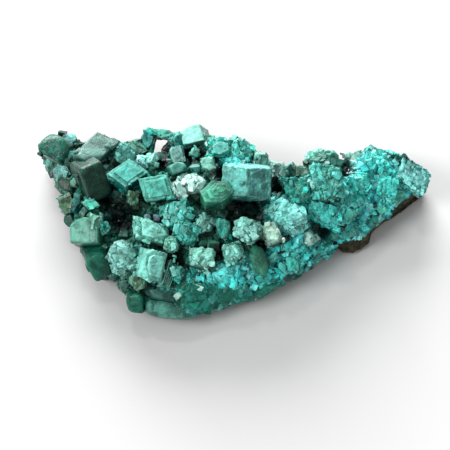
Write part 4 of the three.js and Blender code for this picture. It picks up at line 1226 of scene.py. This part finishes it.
def crystal_finish(name, film_light_share, gloss, relief_depth, pitted, shade):
    """Crystal: its tint in clouds, a root in painted shade, pale film with painted light on faces that look
    up to the light, pale edges that are worn and painted as highlights, and flecks that are partly painted
    glints.

    film_light_share is how far the film and painted light spread, gloss the roughness of a clean face,
    relief_depth the depth of its fine relief in millimetres, pitted how much of the face is eaten into dark
    pits, shade how much darker the crystal is painted where the light does not fall.
    """
    f, c = Finish(name), colours()
    tint, grain, place = f.attribute("tint", "Color"), f.attribute("grain", "Vector"), f.place()
    root, film_and_light, edge = (f.attribute(a) for a in ("root", "film_and_light", "edge"))
    cloud, patchy = f.noise(place, 0.35, 3), f.noise(grain, 0.9, 4, 0.6)
    fine = f.noise(grain + 3.0, 4.0, 4, 0.65)
    plates = f.noise(grain * (0.5, 3.0, 1.5), 1.0, 5, 0.7)
    broad = f.noise(grain + 5.0, 0.4, 2)
    # The clear crystal: light and dark clouds, painted light on faces that look up to the light and painted
    # shade on those turned away, pale specks, dark plates and a root in painted shade.
    body = f.mix(f.smooth(patchy + 0.6 * (broad - 0.5), 0.34, 0.66), tint * 0.55, tint * 1.5)
    body = body * (1.26 - shade + shade * film_and_light)
    body = f.mix(f.smooth(fine, 0.52, 0.75) * 0.4, body, tint * 1.6 + 0.03)
    body = f.mix(f.smooth(plates, 0.54, 0.66) * 0.2, body, tint * 0.35)
    body = f.mix(f.smooth(root, 0.0, 0.6) * 0.8, body, tint * (0.25, 0.4, 0.38))
    # What is eaten into it, and the painted shade at its root and in the hollows, broken up by clouds.
    pits = f.smooth(f.cells(grain + 0.3 * fine, 1.7), 0.30, 0.10)
    pits = pits * f.smooth(patchy, 0.42 + pitted, 0.32 + pitted)
    split = f.cells((grain + 0.25 * patchy) * (1.0, 0.35, 0.5), 0.9, "DISTANCE_TO_EDGE")
    cracks = f.smooth(split, 0.03, 0.0)
    dark = f.smooth(root + (cloud - 0.5) * 0.5 + (patchy - 0.5) * 0.3, 0.2, 0.85)
    # What lies on it: pale film with painted light on faces that look up to the light, pale edges that are
    # worn and also painted highlights, and flecks that are partly painted glints, mostly on the lit faces.
    dusted_and_lit = film_and_light + (patchy - 0.5) * 1.2 + (fine - 0.5) * 0.6
    dusted_and_lit = f.smooth(dusted_and_lit, 1.0 - film_light_share, 1.4 - film_light_share) * (1.0 - 0.85 * dark)
    colour = f.mix(dusted_and_lit * 0.55, body, f.mix(0.6, c.film_and_light, tint * 1.3))
    colour = f.mix(edge * f.smooth(fine, 0.35, 0.6) * 0.55 * (1.0 - dark), colour, c.film_and_light)
    colour = f.mix(pits * 0.8, colour, c.deep)
    colour = f.mix(cracks * f.smooth(cloud, 0.45, 0.58) * 0.55, colour, c.deep)
    fleck_and_glint = f.smooth(f.noise(grain + 7.0, 5.5, 2, 0.5), 0.66, 0.74) * (0.2 + 0.8 * film_and_light)
    colour = f.mix(fleck_and_glint * 0.7, colour, c.fleck_and_glint)
    # Painted shade: the dark of the root and hollows goes to deep green.
    colour = f.mix(dark * 0.94, colour, c.deep)
    return f.done(
        Base_Color=colour, Roughness=gloss + 0.2 * dusted_and_lit + 0.15 * (fine - 0.5) + 0.1 * fleck_and_glint,
        Normal=f.bump(plates * 0.7 + fine * 0.6 - pits - cracks, 0.6, relief_depth),
        IOR=1.6, Specular_IOR_Level=0.25, **GLOW,
    )


def crust_finish():
    """Crust between the crystals: near-black green, its own dark colour together with painted shade of the
    gaps, darker still in the hollows as painted shade, turquoise where the druse is, and along the lower rim
    streaks of teal glass with pale lines and painted glints."""
    f, c = Finish("dioptase_crust"), colours()
    place = f.place()
    druse, deep, glaze = (f.attribute(a) for a in ("druse", "deep", "glaze"))
    cloud, fine = f.noise(place, 0.6, 4), f.noise(place, 4.5, 4, 0.65)
    grains = f.cells(place, 2.2)
    bright = f.smooth(druse + (cloud - 0.5) * 0.7, 0.25, 0.85)
    # The dark crust between the crystals: its own dark colour and painted shade of the gaps.
    dark = f.mix(f.smooth(fine, 0.35, 0.7), c.deep, c.crust)
    colour = f.mix(bright, dark, f.mix(fine, c.turquoise, c.lagoon))
    # Pale flecks of the crust: painted glints.
    colour = f.mix(f.smooth(fine * cloud, 0.36, 0.42) * 0.6, colour, c.fleck_and_glint)
    # The glass of the lower rim, drawn out along it.
    bent = place + 1.6 * f.noise(place + 5.0, 0.5, 2)
    streaks = f.noise(bent * (0.5, 1.5, 1.5), 1.0, 4, 0.6)
    threads = f.noise(bent * (0.9, 4.0, 4.0), 1.0, 3, 0.6)
    glass = f.mix(f.smooth(streaks, 0.36, 0.62), c.glass_dark, c.glass)
    glass = f.mix(f.smooth(threads, 0.52, 0.68) * 0.6, glass, c.glass_pale)
    glass = f.mix(f.smooth(threads, 0.46, 0.36) * 0.6, glass, c.deep)
    # Painted glints on the glass.
    glass = f.mix(f.smooth(fine, 0.68, 0.72) * 0.7, glass, c.fleck_and_glint)
    glazed = f.smooth(glaze + (cloud - 0.5) * 0.4, 0.2, 0.6)
    # Painted shade: the hollows go to deep green.
    colour = f.mix(deep * 0.9, f.mix(glazed, colour, glass), c.deep)
    height = (grains + fine * 0.5) * (1.0 - glazed) + (threads * 0.5 + streaks * 0.5) * glazed
    return f.done(
        Base_Color=colour, Roughness=0.32 + 0.3 * fine - 0.1 * glazed, Normal=f.bump(height, 0.7, 0.16),
        IOR=1.6, Specular_IOR_Level=0.3, **GLOW,
    )


def rock_finish():
    """Host rock: dark olive brown with rust, pale grit, dark seams and crumbling relief."""
    f, c = Finish("host_rock"), colours()
    place = f.place()
    cloud, mottle = f.noise(place, 0.22, 4, 0.6), f.noise(place + 9.0, 0.9, 5, 0.65)
    grit = f.noise(place, 6.0, 3)
    colour = f.mix(f.smooth(mottle, 0.35, 0.68), c.rock, c.rock_olive)
    colour = f.mix(f.smooth(cloud, 0.52, 0.66) * 0.6, colour, c.rock_rust)
    colour = f.mix(f.smooth(grit, 0.56, 0.68) * 0.7, colour, c.rock_pale)
    seams = f.smooth(f.cells(place, 1.3, "DISTANCE_TO_EDGE"), 0.06, 0.0)
    colour = f.mix(seams * 0.6, colour, SEAM_TONE)
    normal = f.bump(mottle + grit * 0.35, 0.9, 0.25)
    return f.done(Base_Color=colour, Roughness=0.78 + 0.2 * grit, Normal=normal, IOR=1.5)


def floor_finish():
    """Pale floor, all but even."""
    f = Finish("pale_floor")
    return f.done(Base_Color=f.mix(f.noise(f.place(), 0.02, 2), *FLOOR_TONES), Roughness=0.9, IOR=1.3)


# ---------------------------------------------------------------- what a user would change
def colour_property(name, description, red, green, blue):
    """A colour, from the 0 to 255 numbers of a colour chart."""
    default = srgb(red, green, blue)
    return FloatVectorProperty(
        name=name, description=description, subtype="COLOR", size=3, min=0, max=1, default=default
    )


def length_property(name, description, millimetres):
    """A length."""
    return FloatProperty(name=name, description=description, unit="LENGTH", min=0, default=millimetres * MM)


def count_property(name, description, count):
    """A number of crystals."""
    return IntProperty(name=name, description=description, default=count, min=0)


class DioptaseColours(bpy.types.PropertyGroup):
    # Deep green: painted shade at the roots and in the hollows, and the dark of real pits and cracks.
    deep: colour_property("Deep green", "Roots, cracks and hollows", 8, 30, 27)
    # Film: pale film and painted light on faces that look up to the light, and on pale edges as painted
    # highlights.
    film_and_light: colour_property("Film", "Pale film on faces that look up", 140, 218, 200)
    # Flecks: white flecks, partly painted glints.
    fleck_and_glint: colour_property("Flecks", "White flecks and grains", 226, 244, 238)
    # Crust: near-black, partly painted shade between the crystals.
    crust: colour_property("Crust", "Crust between the blocks", 26, 62, 56)
    turquoise: colour_property("Turquoise", "Bright druse", 12, 176, 166)
    lagoon: colour_property("Lagoon", "Duller druse", 36, 124, 126)
    glass: colour_property("Glass", "Glassy lower rim", 36, 146, 128)
    glass_dark: colour_property("Dark glass", "Dark streaks of the lower rim", 16, 90, 80)
    glass_pale: colour_property("Pale glass", "Pale threads of the lower rim", 112, 204, 188)
    rock: colour_property("Rock", "Host rock", 58, 52, 42)
    rock_olive: colour_property("Olive rock", "Olive parts of the host rock", 100, 102, 74)
    rock_rust: colour_property("Rust", "Rusty parts of the host rock", 116, 84, 54)
    rock_pale: colour_property("Grit", "Pale grit in the host rock", 150, 140, 112)


class DioptaseSizes(bpy.types.PropertyGroup):
    fineness: length_property("Fineness", "Length of the finest triangles on the named crystals", 0.28)
    druse_least: length_property("Least druse", "Smallest druse crystal", 0.5)
    druse_most: length_property("Most druse", "Largest druse crystal", 1.35)
    growths: count_property("Growths", "Parallel crystals on each middling named one", 10)
    extra: count_property("Extra crystals", "Small crystals beyond the solids'", 700)
    druse: count_property("Druse", "Druse crystals in each half", 7000)
    scales: count_property("Scales", "Flat crystals along the lower rim", 800)
    seed: IntProperty(name="Seed", description="Start of the random draws", default=7)


# ---------------------------------------------------------------- operators
class DIOPTASE_OT_stage(bpy.types.Operator):
    """Pale floor, soft light and the camera"""

    bl_idname = "dioptase.stage"
    bl_label = "Stage"

    def execute(self, context):
        scene = context.scene
        side = FLOOR_SIDE / 2
        corners_of_floor = [(-side, -side, 0), (side, -side, 0), (side, side, 0), (-side, side, 0)]
        floor = bpy.data.objects.new("floor", bpy.data.meshes.new("floor"))
        floor.data.from_pydata(corners_of_floor, [], [(0, 1, 2, 3)])
        floor.data.materials.append(floor_finish())
        scene.collection.objects.link(floor)
        scene.world = scene.world or bpy.data.worlds.new("studio")
        scene.world.use_nodes = True
        sky = scene.world.node_tree.nodes["Background"].inputs
        sky["Color"].default_value, sky["Strength"].default_value = SKY, SKY_STRENGTH
        for name, place, size, power in LAMPS:
            data = bpy.data.lights.new(name, "AREA")
            data.size, data.energy = size, power
            lamp = bpy.data.objects.new(name, data)
            lamp.location = place
            lamp.rotation_euler = (-Vector(place)).to_track_quat("-Z", "Y").to_euler()
            scene.collection.objects.link(lamp)
        data = bpy.data.cameras.new("camera")
        data.sensor_width, data.lens = SENSOR_WIDTH, SENSOR_WIDTH * VIEW_DISTANCE / VIEW_WIDTH
        data.clip_start = CLIP_START
        camera = bpy.data.objects.new("camera", data)
        away = Vector((0, -COS, SIN))
        camera.location = Vector(VIEW_AIM) + VIEW_DISTANCE * away
        camera.rotation_euler = (-away).to_track_quat("-Z", "Y").to_euler()
        scene.collection.objects.link(camera)
        scene.camera = camera
        scene.view_settings.view_transform = "Standard"
        return {"FINISHED"}


class DIOPTASE_OT_host_rock(bpy.types.Operator):
    """Broken host rock under the crust, flat where it rests"""

    bl_idname = "dioptase.host_rock"
    bl_label = "Host rock"

    def execute(self, context):
        rock = flat_mesh("rock_surface", *body_mesh(rock_rings(*ROCK_GRID)), rock_finish())
        finish_piece(rock, "host_rock")
        return {"FINISHED"}


class DIOPTASE_OT_crust(bpy.types.Operator):
    """Lumpy crust that the crystals stand in"""

    bl_idname = "dioptase.crust"
    bl_label = "Crust"

    def execute(self, context):
        points, faces = crust_body()
        crust = flat_mesh("crust_surface", points, faces, crust_finish())
        give(crust.data, "druse", "FLOAT", patch_share(*slope_place(points), DRUSE_PATCHES))
        # Painted shade: how dark the crust is painted in the hollows.
        give(crust.data, "deep", "FLOAT", hollow_shade(points))
        give(crust.data, "glaze", "FLOAT", glaze_share(points))
        crust.data.shade_smooth()
        finish_piece(crust, "dioptase_crystals")
        return {"FINISHED"}


class DIOPTASE_OT_block_crystals(bpy.types.Operator):
    """Named block crystals with their plates and ledges"""

    bl_idname = "dioptase.block_crystals"
    bl_label = "Block crystals"

    def execute(self, context):
        material = crystal_finish(
            "dioptase_blocks", film_light_share=0.5, gloss=0.28, relief_depth=0.05, pitted=0.03, shade=0.7
        )
        rng = np.random.default_rng(sizes().seed + 2)
        for side in ("left", "right"):
            pile = Pile()
            for c in blocks():
                if (c["uv"][0] < BLOCK_SPLIT_U) == (side == "left"):
                    grow_block(pile, c, sizes().fineness / MM, sizes().growths, rng)
            pile.piece("block_crystals_" + side, material, in_hollows=0.3)
        return {"FINISHED"}


class DIOPTASE_OT_small_crystals(bpy.types.Operator):
    """Small crystals between the blocks, along the edges and up the back"""

    bl_idname = "dioptase.small_crystals"
    bl_label = "Small crystals"

    def execute(self, context):
        material = crystal_finish(
            "dioptase_small", film_light_share=0.42, gloss=0.32, relief_depth=0.04, pitted=0.06, shade=0.6
        )
        pile = Pile()
        for c in small_places():
            n, at = c["n"], c["at"]
            u, v = slope_place(at)
            on_rim = v < along(FRONT_EDGE, u) + BARE_RIM or glaze_share(at) > 0.3
            if not (on_rim and BARE_START_U < u < TAIL_START_X):
                tint = shaded_tone(small_tints(at[None], [n])[0], n)
                grow(pile, HABITS[c["habit"]](n), c["size"], at, c["frame"], tint, n, 5, SMALL_WEAR)
        pile.piece("small_crystals", material)
        self.fill_open_crust(material)
        return {"FINISHED"}

    def fill_open_crust(self, material):
        """Many more on the open crust, fewer in the druse and none on the glassy rim."""
        rng = np.random.default_rng(sizes().seed)
        points, fans, middle, out, share = crust_skin()
        outside = (out[:, 2] > -0.2) & outside_gap(middle) & (middle[:, 2] > 1.5)
        open_places = outside * (1 - 0.6 * share) * (1 - glaze_share(middle))
        at, up, _ = cover(points, fans, sizes().extra, rng, open_places)
        keep = ~in_blocks(at, SMALL_SUNK)
        at, up = at[keep], up[keep]
        count = len(at)
        box = rng.uniform(0.8, 1.9, (count, 1)) * rng.uniform((0.8, 0.9, 0.9), (1.1, 1.2, 1.5), (count, 3))
        numbers = FIRST["tints"] + np.arange(count)
        tints = small_tints(at, numbers) * rng.uniform(0.6, 1.15, (count, 1))
        frames = frames_along(up, rng, 0.45)
        shapes = stock(("chip", "rhomb", "chip", "prism"), 24, FIRST["between"], 2)
        strew("crystals_between", material, shapes, at, frames, box, tints, rng)


class DIOPTASE_OT_druse(bpy.types.Operator):
    """Fine druse over the crust and on the sugared crystals"""

    bl_idname = "dioptase.druse"
    bl_label = "Druse"

    def execute(self, context):
        rng = np.random.default_rng(sizes().seed + 1)
        shapes = stock(("chip", "rhomb", "chip", "prism"), 16, FIRST["druse"])
        material = crystal_finish(
            "dioptase_druse", film_light_share=0.45, gloss=0.18, relief_depth=0.015, pitted=-0.3, shade=0.3
        )
        front = crust_skin()[2][:, 0] < DRUSE_SPLIT_X
        for name, side in (("druse_front_left", front), ("druse_tail", ~front)):
            self.cover_side(name, side, shapes, material, rng)
        self.scales(material, rng)
        self.sugar(shapes, material, rng)
        return {"FINISHED"}

    def cover_side(self, name, side, shapes, material, rng):
        """Druse on one side of the crust: thickest and brightest in the patches, drawn out from them."""
        points, fans, middle, out, share = crust_skin()
        weight = (0.30 + share) * (out[:, 2] > -0.3) * outside_gap(middle) * (middle[:, 2] > 0.8)
        weight *= 1 - 0.997 * glaze_share(middle)
        at, up, pick = cover(points, fans, sizes().druse, rng, weight * side)
        keep = ~in_blocks(at, DRUSE_SUNK)
        at, up, bright = at[keep], up[keep], share[pick][keep]
        count = len(at)
        tints = druse_tints(at, up, rng)
        dull = TONES["bottle"] * rng.uniform(0.3, 1.3, (count, 1))
        tints = towards(dull, tints, np.clip(bright * 2.2, 0, 1)[:, None])
        least, most = sizes().druse_least / MM, sizes().druse_most / MM
        size = least + (most - least) * rng.random(count) ** 1.5
        size = np.minimum(size * (0.75 + 0.5 * bright), at[:, 2])
        box = size[:, None] * rng.uniform((0.5, 0.9, 0.4), (1.0, 1.6, 0.8), (count, 3))
        box[tints[:, 0] > PALE_RED] *= 0.6
        frames = frames_along(up, rng, 0.3, druse_flow(at), 0.35)
        strew(name, material, shapes, at, frames, box, tints, rng)

    def scales(self, material, rng):
        """Flat glassy crystals grown together along the lower rim, in streaks of three greens."""
        points, fans, middle, out, _ = crust_skin()
        u, v = slope_place(middle)
        inner = (out[:, 2] > 0.1) & (v > along(FRONT_EDGE, u) + 1.5)
        at = cover(points, fans, sizes().scales, rng, glaze_share(middle) ** 2 * inner)[0]
        at = at[~in_blocks(at, SCALE_SUNK)]
        tints = scale_tints(at, rng)
        box = rng.uniform((0.8, 1.2, 0.3), (1.9, 3.0, 0.6), (len(at), 3))
        box[tints[:, 0] > PALE_RED] *= 0.4
        frames = frames_along(mound_normals(at), rng, 0.07, np.broadcast_to(U + 0.3 * V, at.shape), 0.4)
        shapes = stock(("slab", "rhomb"), 12, FIRST["scales"])
        strew("rim_scales", material, shapes, at, frames, box, within(tints), rng, 0.3)

    def sugar(self, shapes, material, rng):
        """Druse on the faces of the crystals that carry it, drawn out along each crystal's own length."""
        rows = []
        for c in blocks():
            stray = 0 if c["calm"] else STRAY_SUGAR * c["rugged"] * min(1, c["growth"])
            share = max(c["sugar"], stray)
            if not share:
                continue
            _, _, body, _, rounds = c["body"]
            area = c["size"][0] * c["size"][1] + c["size"][1] * c["size"][2]
            at, up, _ = cover(body, fans_of(rounds), int(SUGAR_GRAINS * area * share), rng)
            tint = within(TONES[c["tone"]] * rng.uniform(0.7, 1.9, (len(at), 1)))
            turn, flow = c["frame"].T, np.broadcast_to(c["frame"][:, 1], at.shape)
            rows.append((at @ turn + c["at"], up @ turn, tint, flow))
        at, up, tint, flow = (np.vstack(each) for each in zip(*rows))
        keep = outside_gap(at) & (at[:, 2] > mound_z(at[:, 0], at[:, 1]) - 0.4)
        at, up, tint, flow = at[keep], up[keep], tint[keep], flow[keep]
        size = 0.3 + 0.8 * rng.random(len(at)) ** 1.7
        box = size[:, None] * rng.uniform((0.7, 0.8, 0.3), (1.3, 1.6, 0.7), (len(at), 3))
        frames = frames_along(up, rng, 0.2, flow, 0.3)
        strew("druse_on_crystals", material, shapes, at, frames, box, tint, rng, 0.3)


OPERATORS = (
    DIOPTASE_OT_stage, DIOPTASE_OT_host_rock, DIOPTASE_OT_crust, DIOPTASE_OT_block_crystals,
    DIOPTASE_OT_small_crystals, DIOPTASE_OT_druse,
)


class DIOPTASE_PT_panel(bpy.types.Panel):
    """Everything that makes the cluster"""

    bl_label = "Dioptase cluster"
    bl_idname = "DIOPTASE_PT_panel"
    bl_space_type = "VIEW_3D"
    bl_region_type = "UI"
    bl_category = "Dioptase"

    def draw(self, context):
        for operator in OPERATORS:
            self.layout.operator(operator.bl_idname)
        for group in (context.scene.dioptase_sizes, context.scene.dioptase_colours):
            for key in group.bl_rna.properties.keys():
                if key not in {"rna_type", "name"}:
                    self.layout.prop(group, key)


CLASSES = (DioptaseColours, DioptaseSizes, *OPERATORS, DIOPTASE_PT_panel)


def register():
    """Adds the classes and puts the settings on the scene."""
    for each in CLASSES:
        bpy.utils.register_class(each)
    bpy.types.Scene.dioptase_colours = PointerProperty(type=DioptaseColours)
    bpy.types.Scene.dioptase_sizes = PointerProperty(type=DioptaseSizes)


def unregister():
    """Takes them off again."""
    del bpy.types.Scene.dioptase_colours, bpy.types.Scene.dioptase_sizes
    for each in reversed(CLASSES):
        bpy.utils.unregister_class(each)


def main():
    """Builds everything in order."""
    register()
    for operator in OPERATORS:
        family, name = operator.bl_idname.split(".")
        getattr(getattr(bpy.ops, family), name)()
    bpy.context.view_layer.update()


if __name__ == "__main__":
    main()
